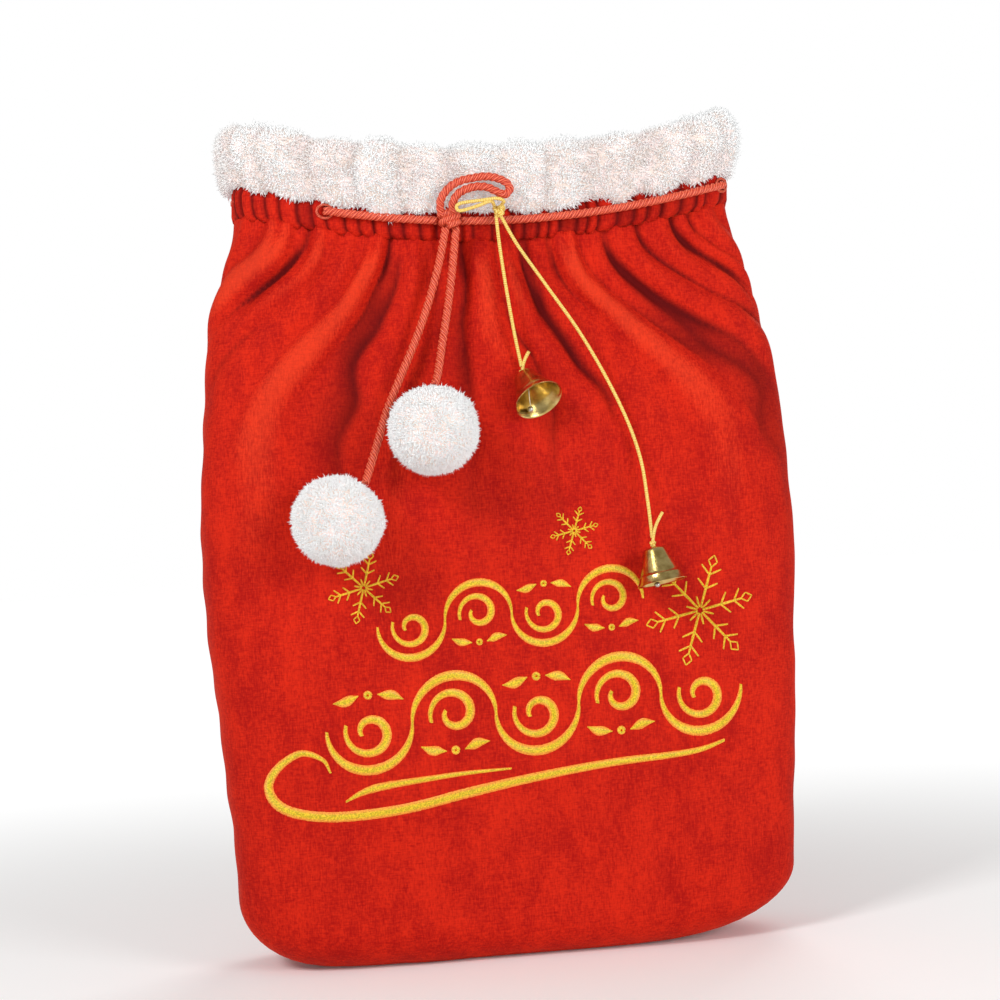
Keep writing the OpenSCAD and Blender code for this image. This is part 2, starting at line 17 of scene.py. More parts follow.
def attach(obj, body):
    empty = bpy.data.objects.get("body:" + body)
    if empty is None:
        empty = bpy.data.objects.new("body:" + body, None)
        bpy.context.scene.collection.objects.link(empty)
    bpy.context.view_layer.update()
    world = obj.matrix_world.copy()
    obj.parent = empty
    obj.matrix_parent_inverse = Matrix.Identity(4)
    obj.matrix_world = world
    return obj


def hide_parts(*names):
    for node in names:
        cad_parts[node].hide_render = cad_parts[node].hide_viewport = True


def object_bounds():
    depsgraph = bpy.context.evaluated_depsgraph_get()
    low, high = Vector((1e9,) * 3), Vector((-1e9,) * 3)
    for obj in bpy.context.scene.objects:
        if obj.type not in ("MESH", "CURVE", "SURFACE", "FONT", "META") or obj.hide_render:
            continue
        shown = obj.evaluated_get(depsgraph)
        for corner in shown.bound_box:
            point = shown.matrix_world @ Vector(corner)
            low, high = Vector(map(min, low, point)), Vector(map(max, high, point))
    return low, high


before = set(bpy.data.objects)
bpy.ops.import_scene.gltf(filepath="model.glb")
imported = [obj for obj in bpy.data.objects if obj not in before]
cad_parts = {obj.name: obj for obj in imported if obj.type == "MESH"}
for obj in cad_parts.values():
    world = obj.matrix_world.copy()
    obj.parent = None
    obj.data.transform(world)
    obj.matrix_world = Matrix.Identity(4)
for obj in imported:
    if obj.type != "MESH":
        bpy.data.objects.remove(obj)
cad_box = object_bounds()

MM = 0.001
print("working model box:", [[round(v, 3) for v in corner] for corner in cad_box])

# %% [markdown]
# ## Camera
# A sack like this is looked at from a little way off and level with its middle. The camera
# stands slightly to the left, so that a strip of the left side shows, and it is tipped a few
# degrees, because the sack leans in the view. A small shift centres the sack in the frame.

# %% Camera
target = Vector((0, 0, 0.330))
turn = math.radians(-8.0)
rise = math.radians(0.8)
roll = math.radians(-3.0)
distance = 1.70
back = Vector((math.sin(turn) * math.cos(rise), -math.cos(turn) * math.cos(rise), math.sin(rise)))
side = Vector((math.cos(turn), math.sin(turn), 0))
up = back.cross(side)
right = math.cos(roll) * side + math.sin(roll) * up
top = math.cos(roll) * up - math.sin(roll) * side
camera_data = bpy.data.cameras.new("camera")
camera = bpy.data.objects.new("camera", camera_data)
bpy.context.scene.collection.objects.link(camera)
camera.matrix_world = Matrix.Translation(target + back * distance) @ Matrix(
    (right, top, back)).transposed().to_4x4()
camera_data.sensor_width = 36
camera_data.lens = 71.8
camera_data.shift_x = 0.0
camera_data.shift_y = 0.058
camera_data.clip_end = 60
bpy.context.scene.camera = camera
print("camera at", [round(v, 3) for v in camera.location])

# %% [markdown]
# ## Floor and light
# A plain white floor and pale surroundings keep the attention on the cloth. One large soft
# lamp stands high in front and to the left and makes the ridges of the folds shine, a weaker
# one on the right keeps the shaded side readable, and the surroundings light the rest softly.
# They look white in the view, but give less light than that, so that the folds keep their
# shade.

# %% Floor
def nothing_selected():
    """Deselect everything, so that the next operator acts on the new piece alone."""
    if bpy.context.mode != "OBJECT":
        bpy.ops.object.mode_set(mode="OBJECT")
    bpy.ops.object.select_all(action="DESELECT")


nothing_selected()
bpy.ops.mesh.primitive_circle_add(vertices=96, radius=14, fill_type="NGON")
floor = bpy.context.object
floor.name = "floor"

# %% Lamps and surroundings
def soft_lamp(name, place, aim, size, power):
    data = bpy.data.lights.new(name, "AREA")
    data.size = size
    data.energy = power
    lamp = bpy.data.objects.new(name, data)
    bpy.context.scene.collection.objects.link(lamp)
    lamp.matrix_world = Matrix.Translation(place) @ (
        Vector(place) - Vector(aim)).to_track_quat("Z", "Y").to_matrix().to_4x4()


soft_lamp("key_lamp", (-1.6, -1.6, 1.7), (0, 0, 0.40), 0.7, 33)
soft_lamp("fill_lamp", (1.4, -2.0, 0.9), (0, 0, 0.35), 1.0, 25)
soft_lamp("rim_lamp", (0.8, 1.6, 1.6), (0, 0, 0.5), 1.2, 14)
world = bpy.data.worlds.new("pale_room")
world.use_nodes = True
room = world.node_tree.nodes["Background"]
room.inputs["Color"].default_value = (1, 1, 1, 1)
seen = world.node_tree.nodes.new("ShaderNodeLightPath")
strength = world.node_tree.nodes.new("ShaderNodeMapRange")
strength.inputs["To Min"].default_value = 0.36
strength.inputs["To Max"].default_value = 1.0
world.node_tree.links.new(seen.outputs["Is Camera Ray"], strength.inputs["Value"])
world.node_tree.links.new(strength.outputs["Result"], room.inputs["Strength"])
bpy.context.scene.world = world
bpy.context.scene.view_settings.view_transform = "Standard"

# %% [markdown]
# ## A small language for finishes
# Every finish is a network of nodes. Written out one by one the nodes hide the idea, so a
# socket is wrapped in a class that understands plain arithmetic: `1 - mask * 0.4` adds the
# Math nodes for it. One method adds any other kind of node.

# %% Wire and Finish
class Wire:
    """A socket of a finish that can be used in plain arithmetic."""

    def __init__(self, finish, socket):
        self.finish = finish
        self.socket = socket

    def math(self, operation, *values):
        return self.finish.node("Math", {"operation": operation}, dict(enumerate(values)))

    def __add__(self, other):
        return self.math("ADD", self, other)

    def __sub__(self, other):
        return self.math("SUBTRACT", self, other)

    def __rsub__(self, other):
        return self.math("SUBTRACT", other, self)

    def __mul__(self, other):
        return self.math("MULTIPLY", self, other)

    def __pow__(self, other):
        return self.math("POWER", self, other)

    __radd__ = __add__
    __rmul__ = __mul__


class Finish:
    """A material that starts with one shader and grows by nodes."""

    def __init__(self, name, **constants):
        self.material = bpy.data.materials.new(name)
        self.material.use_nodes = True
        self.tree = self.material.node_tree
        self.shader = self.tree.nodes["Principled BSDF"]
        for socket, value in constants.items():
            self.shader.inputs[socket.replace("_", " ")].default_value = value

    def node(self, kind, settings=None, values=None, out=0):
        made = self.tree.nodes.new("ShaderNode" + kind)
        for key, value in (settings or {}).items():
            if key == "stops":
                self.set_stops(made.color_ramp, value)
            else:
                setattr(made, key, value)
        for socket, value in (values or {}).items():
            self.join(made.inputs[socket], value)
        return Wire(self, made.outputs[out])

    def join(self, socket, value):
        if isinstance(value, Wire):
            self.tree.links.new(value.socket, socket)
        else:
            socket.default_value = value

    def set_stops(self, ramp, stops):
        while len(ramp.elements) < len(stops):
            ramp.elements.new(1)
        for element, (position, colour) in zip(ramp.elements, stops):
            element.position = position
            element.color = colour

    def place(self):
        return self.node("TexCoord", out="Object")

    def stretched(self, where, scale, turn=(0, 0, 0)):
        return self.node("Mapping", None, {"Vector": where, "Scale": scale, "Rotation": turn})

    def noise(self, where, scale, detail=2.0):
        return self.node("TexNoise", None, {"Vector": where, "Scale": scale, "Detail": detail})

    def ramp(self, value, low, high):
        """0 below low, 1 above high, soft between."""
        return self.node(
            "MapRange", {"interpolation_type": "SMOOTHSTEP"},
            {"Value": value, "From Min": low, "From Max": high})

    def blend(self, mask, first, second):
        settings = {"data_type": "RGBA"}
        return self.node("Mix", settings, {0: mask, 6: first, 7: second}, out=2)

    def bump(self, height, depth, before=None):
        values = {"Height": height, "Distance": depth, "Strength": 1.0}
        if before:
            values["Normal"] = before
        return self.node("Bump", None, values)

    def use(self, **links):
        for socket, value in links.items():
            self.join(self.shader.inputs[socket.replace("_", " ")], value)
        return self.material


def ink(red, green, blue):
    """A colour from 0-255 values, as the renderer's linear numbers."""
    shares = [v / 255 for v in (red, green, blue)]
    linear = [v / 12.92 if v <= 0.04045 else ((v + 0.055) / 1.055) ** 2.4 for v in shares]
    return (*linear, 1.0)


# %% [markdown]
# The floor is white paper near the sack, where it takes the shadow. Further out it fades into
# a surface that glows as white as the background, so that no horizon shows.

# %% Floor finish
floor_finish = Finish("white_paper", Roughness=0.9, Emission_Strength=1.0)
away = floor_finish.node(
    "VectorMath", {"operation": "LENGTH"}, {0: floor_finish.place()}, out="Value")
far = floor_finish.ramp(away, 0.35, 1.5)
floor.data.materials.append(floor_finish.use(
    Base_Color=floor_finish.blend(far, ink(252, 252, 251), ink(0, 0, 0)),
    Emission_Color=floor_finish.blend(far, ink(60, 60, 60), ink(255, 255, 255))))

# %% [markdown]
# ## Velvet
# Velvet is a short dense pile. Where the pile is brushed the other way the cloth looks lighter
# or darker, in soft clouds and in fine crossed dashes, and ridges catch a bright edge. The
# clouds and dashes are noises in the colour, and the bright edge is the shader's sheen, which
# is the same all over and so stays on the shader itself. The folds' light and shade are also
# painted into the colour: each point of the cloth carries how far it stands on a ridge, the
# valleys get painted shade and the crests a painted highlight.

# %% Velvet finish
# Of the four colours, the first is painted shade for the fold valleys and the last a painted
# highlight for their crests; the two between are the nap's own tones.
def velvet(name, valley_shade_colour, middle, light, bright):
    finish = Finish(
        name, Sheen_Weight=0.3, Sheen_Roughness=0.35, Sheen_Tint=ink(255, 96, 52),
        Specular_IOR_Level=0.12)
    where = finish.place()
    clouds = finish.noise(where, 17, 3)
    crush = finish.noise(finish.stretched(where, (1, 1, 0.45)), 60, 3)
    along = finish.noise(finish.stretched(where, (1, 1, 0.16)), 950, 2)
    across = finish.noise(finish.stretched(where, (0.16, 0.16, 1)), 950, 2)
    grain = finish.noise(where, 420, 3)
    nap = clouds * 0.14 + crush * 0.22 + along * 0.24 + across * 0.20 + grain * 0.20
    colour = finish.blend(finish.ramp(nap, 0.38, 0.62), middle, light)
    # Painted shade and highlight: by the ridge value each point carries, the fold valleys are
    # painted darker towards the valley colour and the crests lighter towards the bright one.
    ridge = finish.node("Attribute", {"attribute_name": "ridge"}, out="Fac")
    valley_shade = finish.ramp(0.25 * (crush - 0.5) - ridge, 0.05, 0.95)
    colour = finish.blend(0.95 * valley_shade, colour, valley_shade_colour)
    # crest is a painted highlight on the fold crests, broken up a little by the nap's dashes.
    crest = finish.ramp(ridge + 0.9 * (along - 0.5), 0.5, 1.5)
    colour = finish.blend(0.34 * crest, colour, bright)
    pile = along * 0.35 + across * 0.35 + grain * 0.5
    return finish.use(
        Base_Color=colour, Roughness=0.68 + 0.2 * crush,
        Normal=finish.bump(crush, 0.0012, finish.bump(pile, 0.00035)))


velvet_red = velvet(
    "velvet_red", ink(84, 0, 2), ink(162, 10, 4), ink(210, 38, 14), ink(246, 78, 42))
velvet_back = velvet(
    "velvet_wrong_side", ink(96, 6, 10), ink(140, 18, 18), ink(158, 30, 26), ink(168, 40, 32))

# %% [markdown]
# ## Plush, cord, thread and metal
# The other finishes follow the same idea. Plush is white, with painted shade in a warmer,
# darker colour low in the pile, in the hollows of its lumps and on its undersides, which each
# tuft carries as a value from root to tip; a faint white glow lifts that shade as painted
# light. Cord and thread carry their own map that runs round and along, so that the fine fibres
# follow the twist.

# %% Plush finish
def plush(name):
    # The plush glows faintly white: painted light that lifts the shade between the tufts.
    finish = Finish(
        name, Sheen_Weight=0.25, Sheen_Roughness=0.5, Specular_IOR_Level=0.1, Roughness=0.9,
        Emission_Color=ink(250, 252, 255), Emission_Strength=0.14)
    tip = finish.node("Attribute", {"attribute_name": "tip"}, out="Fac")
    mottle = finish.noise(finish.place(), 130, 3)
    # warm is painted shade: a warmer, darker white for low in the pile, hollows and undersides.
    warm = finish.blend(finish.ramp(mottle, 0.35, 0.65), ink(230, 210, 198), ink(242, 222, 217))
    white = finish.blend(finish.ramp(mottle, 0.4, 0.7), ink(252, 253, 252), ink(254, 255, 255))
    fluff = finish.noise(finish.place(), 1400, 3)
    return finish.use(
        Base_Color=finish.blend(finish.ramp(tip, 0.0, 0.75), warm, white),
        Normal=finish.bump(fluff, 0.0006))


plush_white = plush("plush_white")

# %% Cord, elastic and thread finishes
def spun(name, dark, middle, light, turns, slant, shine, depth):
    """Fibres that wind round a strand: turns of them, slanted along its own map."""
    finish = Finish(
        name, Specular_IOR_Level=shine, Sheen_Weight=0.3, Sheen_Roughness=0.3,
        Sheen_Tint=light)
    parts = finish.tree.nodes.new("ShaderNodeSeparateXYZ")
    finish.join(parts.inputs[0], finish.node("UVMap", {"uv_map": "strand"}))
    around = Wire(finish, parts.outputs[0])
    along = Wire(finish, parts.outputs[1])
    angle = (around * turns + along * slant) * (2 * math.pi)
    fibre = angle.math("SINE", angle) * 0.5 + 0.5
    stray = finish.noise(finish.place(), 1500, 2)
    tone = fibre * 0.6 + stray * 0.4
    colour = finish.blend(finish.ramp(tone, 0.15, 0.55), dark, middle)
    colour = finish.blend(finish.ramp(tone, 0.5, 0.9), colour, light)
    return finish.use(
        Base_Color=colour, Roughness=0.5 - 0.12 * fibre,
        Normal=finish.bump(fibre + stray * 0.6, depth))


cord_red = spun("twisted_cord_red", ink(176, 40, 22), ink(222, 78, 48), ink(245, 128, 92),
                5, 260, 0.5, 0.00025)
elastic_gold = spun("gold_elastic", ink(214, 160, 50), ink(248, 212, 92), ink(255, 240, 160),
                    3, 700, 0.6, 0.00018)

# %% Embroidery, metal and lining finishes
def satin_thread():
    """Raised stitches: yellow with a greener middle and warmer orange edges."""
    finish = Finish("gold_thread", Specular_IOR_Level=0.6)
    edge = finish.node("Attribute", {"attribute_name": "edge"}, out="Fac")
    stray = finish.noise(finish.place(), 900, 2)
    middle = finish.blend(finish.ramp(stray, 0.35, 0.65), ink(190, 166, 10), ink(244, 212, 44))
    warm = finish.blend(finish.ramp(stray, 0.35, 0.65), ink(228, 122, 22), ink(252, 170, 56))
    return finish.use(
        Base_Color=finish.blend(finish.ramp(edge, 0.2, 0.85), middle, warm),
        Roughness=0.34 + 0.2 * stray, Normal=finish.bump(stray, 0.0002))


def metal(name, bright, dull, rough, lines):
    finish = Finish(name, Metallic=1.0)
    where = finish.place()
    smudge = finish.noise(where, 130, 4)
    fine = finish.noise(finish.stretched(where, (1, 1, 6)), lines, 2)
    return finish.use(
        Base_Color=finish.blend(finish.ramp(smudge, 0.35, 0.7), bright, dull),
        Roughness=rough + 0.12 * smudge + 0.06 * fine,
        Normal=finish.bump(fine, 0.00004))


def lining(name, first, second):
    finish = Finish(name, Roughness=0.9, Specular_IOR_Level=0.15)
    where = finish.place()
    threads = finish.noise(finish.stretched(where, (0.2, 1, 1)), 1500, 2)
    felt = finish.noise(where, 500, 4)
    return finish.use(
        Base_Color=finish.blend(finish.ramp(felt * 0.5 + threads * 0.5, 0.4, 0.6), first, second),
        Normal=finish.bump(threads + felt, 0.0003))


thread_gold = satin_thread()
brass = metal("bell_brass", ink(222, 196, 128), ink(176, 148, 84), 0.14, 900)
nickel = metal("wire_nickel", ink(205, 203, 196), ink(160, 156, 148), 0.2, 1200)
stabiliser = lining("stabiliser_white", ink(232, 230, 224), ink(246, 245, 240))
overlock = lining("overlocked_edge", ink(120, 10, 12), ink(176, 26, 20))
print("finishes:", len(bpy.data.materials))

# %% [markdown]
# ## The filled shape
# The working model describes the filled sack by half a width, half a depth and a squareness
# at each height. The same rule is repeated here in metres, so that every new surface, cord
# and stitch can be laid at a known distance from the cloth.

# %% Sizes of the sack
HEIGHT = cad_box[1][2]
CUFF_H = 53 * MM
CASING_H = 23 * MM
GAP = 0.3 * MM
WIDTH = 500 * MM
DEPTH = 150 * MM
CASING_Z = HEIGHT - CUFF_H - CASING_H - GAP
CUFF_Z = CASING_Z + CASING_H + GAP
CORD_Z = CASING_Z + 14 * MM
DIP_FROM = 380 * MM
MOUTH_DIP = {-1: 30 * MM, 1: 10 * MM}
shape_rows = np.array([
    [0.00, 0.930, 0.93, 4.6], [0.25, 0.962, 0.99, 4.6], [0.52, 1.000, 1.00, 4.6],
    [0.68, 0.990, 0.95, 4.4], [0.81, 0.955, 0.85, 4.0], [0.90, 0.900, 0.76, 3.5],
    [1.00, 0.836, 0.67, 3.0], [1.15, 0.830, 0.66, 3.0]])


def profile(z, column):
    """A column of the shape rows at height z, as a smooth curve through them."""
    share = np.asarray(z, float) / CASING_Z
    last = len(shape_rows) - 1
    k = np.clip(np.searchsorted(shape_rows[:, 0], share, side="right") - 1, 0, last - 1)

    def row(i):
        return shape_rows[np.clip(i, 0, last)]

    def slope(i):
        before, after = row(i - 1), row(i + 1)
        return (after[..., column] - before[..., column]) / (after[..., 0] - before[..., 0])

    step = row(k + 1)[..., 0] - row(k)[..., 0]
    t = np.clip((share - row(k)[..., 0]) / step, 0, 1)
    p, q = row(k)[..., column], row(k + 1)[..., column]
    bend = slope(k) * t * (1 - t) ** 2 - slope(k + 1) * t * t * (1 - t)
    return p * (1 + 2 * t) * (1 - t) ** 2 + q * t * t * (3 - 2 * t) + step * bend


def soft_step(t):
    t = np.clip(t, 0, 1)
    return t * t * (3 - 2 * t)


# %% Widths, depths and the dip of the mouth
CORNER_H = 58 * MM
FOOT_R = 32 * MM


def rounding(z, run, height):
    """How far a rounded lower edge is drawn in at height z."""
    share = 1 - np.clip(z, 0, height) / height
    return run * (1 - np.sqrt(np.maximum(0, 1 - share * share)))


def half_w(z, off=0.0, corner=0.0):
    return WIDTH / 2 * profile(z, 1) + off - rounding(z, corner, CORNER_H)


def half_d(z, off=0.0, foot=0.0):
    return DEPTH / 2 * profile(z, 2) + off - rounding(z, foot, FOOT_R)


def dip(x, front, z):
    across = 1 - np.minimum(1, (x / half_w(CASING_Z)) ** 2)
    return MOUTH_DIP[front] * across * soft_step((z - DIP_FROM) / (CASING_Z - DIP_FROM))


def front_y(x, z, off=0.0):
    """Depth of the front at a place, off metres outside the cloth."""
    height = z
    for _ in range(4):
        height = z + dip(x, -1, height)
    n = profile(height, 3)
    share = np.minimum(1, np.abs(x) / half_w(height, off))
    return -half_d(height, off) * (1 - share ** n) ** (1 / n)


def skin(share, z, off, front):
    """Points at shares of the way from the right seam to the left, evenly spaced.

    front is -1 for the front and 1 for the back; z and off have one value a row."""
    angle = np.linspace(0, math.pi, 721)
    z, off = np.broadcast_arrays(np.asarray(z, float), np.asarray(off, float))
    rows = []
    for height, away in zip(z, off):
        n = float(profile(height, 3))
        c, s = np.cos(angle), np.maximum(np.sin(angle), 0)
        corner = np.where(c > 0, 125 * MM, 75 * MM)
        x = np.sign(c) * half_w(height, away, corner) * np.abs(c) ** (2 / n)
        y = front * half_d(height, away, FOOT_R) * s ** (2 / n)
        arc = np.concatenate([[0], np.cumsum(np.hypot(np.diff(x), np.diff(y)))])
        arc /= arc[-1]
        x, y = np.interp(share, arc, x), np.interp(share, arc, y)
        rows.append(np.stack([x, y, height - dip(x, front, height)], -1))
    return np.array(rows)


print("neck half width", round(float(half_w(CASING_Z)), 4), "belly half depth",
      round(float(half_d(0.3)), 4))

# %% [markdown]
# ## Meshes from sheets of points
# Cloth, plush and cord are laid out as rows of points. A small helper turns rows into a mesh,
# another gives the direction that each point faces, and a third makes repeatable soft noise
# for lumps and folds.

# %% Sheet and noise helpers
def new_piece(name, points, faces, finish, smooth=True):
    nothing_selected()
    mesh = bpy.data.meshes.new(name)
    mesh.from_pydata(np.asarray(points, float).tolist(), [], faces)
    mesh.validate()
    mesh.polygons.foreach_set("use_smooth", [smooth] * len(mesh.polygons))
    mesh.materials.append(finish)
    piece = bpy.data.objects.new(name, mesh)
    bpy.context.scene.collection.objects.link(piece)
    bpy.context.view_layer.objects.active = piece
    piece.select_set(True)
    return piece


def sheet_faces(rows, columns, flip=False):
    a = (np.arange(rows - 1)[:, None] * columns + np.arange(columns - 1)).ravel()
    order = (0, columns, columns + 1, 1) if flip else (0, 1, columns + 1, columns)
    return np.stack([a + step for step in order], -1).tolist()


def facing(grid, outward):
    """Unit directions across a grid of points, on the side where outward points."""
    across = np.gradient(grid, axis=1)
    along = np.gradient(grid, axis=0)
    direction = np.cross(across, along)
    direction /= np.maximum(np.linalg.norm(direction, axis=-1, keepdims=True), 1e-12)
    flip = np.sign(np.sum(direction * outward, axis=-1, keepdims=True))
    return direction * np.where(flip == 0, 1, flip)


def lumps(points, cell, seed):
    """Soft noise from -1 to 1 with lumps about one cell across."""
    table = np.random.default_rng(seed).uniform(-1, 1, (16, 16, 16))
    scaled = np.asarray(points) / cell + 100.0
    low = np.floor(scaled).astype(int)
    part = soft_step(scaled - low)
    total = 0
    for corner in range(8):
        bit = np.array([corner & 1, corner >> 1 & 1, corner >> 2])
        weight = np.prod(np.where(bit == 1, part, 1 - part), axis=-1)
        i = (low + bit) % 16
        total = total + weight * table[i[..., 0], i[..., 1], i[..., 2]]
    return total


def dress(piece, body, slot, *nodes):
    """Attach a piece to the body it moves with and hide the working nodes it stands for; slot is
    not used.
    """
    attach(piece, body)
    if nodes:
        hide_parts(*nodes)
    return piece


# %% [markdown]
# ## Cords
# The drawstring is a shiny cord of three twisted strands, 7 mm thick. It leaves the casing
# through two buttonholes, lies along the neck, and is tied in one knot with a bow loop and two
# tails. Each strand is a round tube that winds round the cord's line, which shows the real
# twist in the outline. The lines pass through the same points as the working model's cords.

# %% Routes in millimetres
CORD_D = 7 * MM
STRING_D = 3 * MM
left_stretch_x = [-137, -126, -112, -96, -79, -62, -46]
right_stretch_x = [-26, -6, 14, 38, 65, 90, 115, 140, 165, 185, 203]
bow_route = [
    [-43, -69, 611], [-44, -73, 621], [-41, -76, 628], [-35, -77, 634], [-27, -77, 638],
    [-17, -77, 640], [-6, -77, 641], [4, -77, 639], [11, -77, 635], [13, -77, 630],
    [9, -77, 626], [3, -77, 628], [-5, -77, 632], [-14, -77, 633], [-23, -77, 631],
    [-30, -76, 627], [-34, -74, 620], [-34, -69, 611]]
gold_route = [
    [0, -74, 618], [-4, -82, 620], [-16, -83, 616], [-29, -82, 613], [-32, -82, 616],
    [-28, -83, 619], [-10, -83, 621], [1, -83, 622], [7, -81, 620], [6, -75, 618]]
tail_left_route = [
    [-41, -67, 597], [-47, -68, 573], [-58, -71, 540], [-70, -75, 511], [-84, -80, 482],
    [-97, -87, 455], [-107, -94, 428], [-115, -100, 407], [-119, -104, 397]]
tail_right_route = [
    [-32, -67, 597], [-36, -68, 570], [-42, -73, 538], [-49, -81, 508], [-55, -91, 483],
    [-59, -97, 472]]
string_left_route = [
    [1.5, -72, 607], [3, -72, 585], [6.5, -73, 550], [11, -73, 515], [15.5, -74, 486]]
string_right_route = [
    [6.5, -72, 607], [18, -72, 585], [40, -73, 551], [64, -74, 514], [84, -76, 476],
    [100, -79, 438], [109, -82, 405], [112, -86, 372], [113, -92, 341]]


def cord_on_front(x):
    z = CORD_Z - float(dip(x, -1, CORD_Z))
    return [x, float(front_y(x, z, 11 * MM)), z]


# %% A smooth line through a route
def smooth_line(points, step):
    """An even run of points on a smooth curve through the given ones."""
    p = np.asarray(points, float)
    p = np.vstack([2 * p[0] - p[1], p, 2 * p[-1] - p[-2]])
    t = np.linspace(0, 1, 24, endpoint=False)[:, None]
    runs = []
    for a, b, c, d in zip(p[:-3], p[1:-2], p[2:-1], p[3:]):
        runs.append(0.5 * (2 * b + (c - a) * t + (2 * a - 5 * b + 4 * c - d) * t ** 2
                           + (3 * b - a - 3 * c + d) * t ** 3))
    line = np.vstack(runs + [p[-2:-1]])
    arc = np.concatenate([[0], np.cumsum(np.linalg.norm(np.diff(line, axis=0), axis=1))])
    even = np.linspace(0, arc[-1], max(2, int(round(arc[-1] / step)) + 1))
    return np.stack([np.interp(even, arc, line[:, i]) for i in range(3)], -1), float(arc[-1])


def frames_along(line):
    """Two directions across the line at each point, carried along without twist."""
    tangent = np.gradient(line, axis=0)
    tangent /= np.linalg.norm(tangent, axis=1, keepdims=True)
    first = np.cross(tangent[0], [0.3, 0.2, 1.0] if abs(tangent[0][2]) < 0.9 else [1.0, 0, 0])
    across = [first / np.linalg.norm(first)]
    for t in tangent[1:]:
        turned = across[-1] - t * np.dot(across[-1], t)
        across.append(turned / np.linalg.norm(turned))
    across = np.array(across)
    return tangent, across, np.cross(tangent, across)


# %% Tubes and twisted cord
def tube_mesh(line, radius, sides, start=0):
    """Points, faces and map of a closed tube; radius is one value or one a point."""
    _, u, v = frames_along(line)
    angle = np.linspace(0, 2 * math.pi, sides, endpoint=False)
    radius = np.broadcast_to(radius, len(line))[:, None, None]
    ring = np.cos(angle)[None, :, None] * u[:, None] + np.sin(angle)[None, :, None] * v[:, None]
    points = (line[:, None] + radius * ring).reshape(-1, 3)
    faces = []
    for k in range(len(line) - 1):
        a = start + k * sides
        for i in range(sides):
            j = (i + 1) % sides
            faces.append((a + i, a + j, a + sides + j, a + sides + i))
    faces.append(tuple(range(start + sides - 1, start - 1, -1)))
    last = start + (len(line) - 1) * sides
    faces.append(tuple(range(last, last + sides)))
    arc = np.concatenate([[0], np.cumsum(np.linalg.norm(np.diff(line, axis=0), axis=1))])
    return points, faces, arc


def strands_piece(name, lines, radius, sides, finish):
    """One mesh of closed tubes, mapped round and along each for its fibres."""
    points, faces, maps, start = [], [], [], 0
    for line in lines:
        p, f, arc = tube_mesh(line, radius, sides, start)
        points.append(p)
        faces += f
        for k in range(len(line) - 1):
            for i in range(sides):
                u0, u1 = i / sides, (i + 1) / sides
                maps += [(u0, arc[k]), (u1, arc[k]), (u1, arc[k + 1]), (u0, arc[k + 1])]
        maps += [(0, arc[0])] * sides + [(0, arc[-1])] * sides
        start += len(p)
    piece = new_piece(name, np.vstack(points), faces, finish)
    layer = piece.data.uv_layers.new(name="strand")
    layer.data.foreach_set("uv", np.array(maps, float).ravel())
    return piece


def twisted_lines(line, diameter, lay, strands=3):
    """The strands' own lines, wound round the cord's line once every lay."""
    tangent, u, v = frames_along(line)
    arc = np.concatenate([[0], np.cumsum(np.linalg.norm(np.diff(line, axis=0), axis=1))])
    wound = []
    for k in range(strands):
        angle = (-2 * math.pi * arc / lay + 2 * math.pi * k / strands)[:, None]
        wound.append(line + 0.235 * diameter * (np.cos(angle) * u + np.sin(angle) * v))
    return wound


def twisted_cord(name, route, diameter=CORD_D, lay=16 * MM):
    line, length = smooth_line(route, 1.25 * MM)
    wound = twisted_lines(line, diameter, lay)
    piece = strands_piece(name, wound, 0.265 * diameter, 9, cord_red)
    path = [tuple(p) for p in line[::8]] + [tuple(line[-1])]
    print(name, "length", round(length, 3), "m")
    return piece, path, length


def metres(route):
    return [[v * MM for v in point] for point in route]


# %% The stretches of the drawstring outside the casing
left_route = [cord_on_front(x * MM) for x in left_stretch_x]
right_route = [cord_on_front(x * MM) for x in right_stretch_x]
stretch_left, stretch_left_path, stretch_left_length = twisted_cord(
    "drawstring_left_stretch", left_route)
stretch_right, stretch_right_path, stretch_right_length = twisted_cord(
    "drawstring_right_stretch", right_route)
dress(stretch_left, "root", "twisted_cord", "drawstring_front_left")
dress(stretch_right, "root", "twisted_cord", "drawstring_front_right")

# %% [markdown]
# ## The knot and the bow
# The two ends are tied in one round knot, from which a long loop rises and bends to the right
# and two tails fall. The knot shows as cord wound round the ends, so it is made as a cord that
# winds round an upright core, with a short bulge where it tucks in.

# %% Drawstring knot
knot_at = np.array([-36, -66.5, 609]) * MM
angle = np.linspace(-0.6 * math.pi, 3.5 * math.pi, 60)
rise_share = np.linspace(-1, 1, 60)
knot_line = np.stack([
    knot_at[0] + 6.4 * MM * np.cos(angle), knot_at[1] + 4.6 * MM * np.sin(angle),
    knot_at[2] + 5.2 * MM * rise_share + 1.6 * MM * np.cos(angle)], -1)
core_line = np.stack([
    knot_at[0] + 1.5 * MM * np.sin(3 * rise_share), np.full(60, knot_at[1]),
    knot_at[2] + 7 * MM * rise_share], -1)
knot_strands = twisted_lines(knot_line, 6.4 * MM, 13 * MM) + twisted_lines(
    core_line, 6.4 * MM, 13 * MM)
knot = strands_piece("drawstring_knot_wound", knot_strands, 1.75 * MM, 9, cord_red)
dress(knot, "root", "twisted_cord", "drawstring_knot")

# %% Bow loop
bow, bow_path, bow_length = twisted_cord("bow_loop_cord", metres(bow_route))
dress(bow, "root", "twisted_cord", "bow_loop")

# %% The tails
def tail(name, route, body, node):
    """A tail starts a little inside the knot, so that no gap shows when it lifts."""
    first, second = np.array(route[0], float), np.array(route[1], float)
    start = first + (first - second) / np.linalg.norm(first - second) * 5
    piece, path, length = twisted_cord(name, metres([list(start)] + route))
    dress(piece, body, "twisted_cord", node)
    return piece, path, length


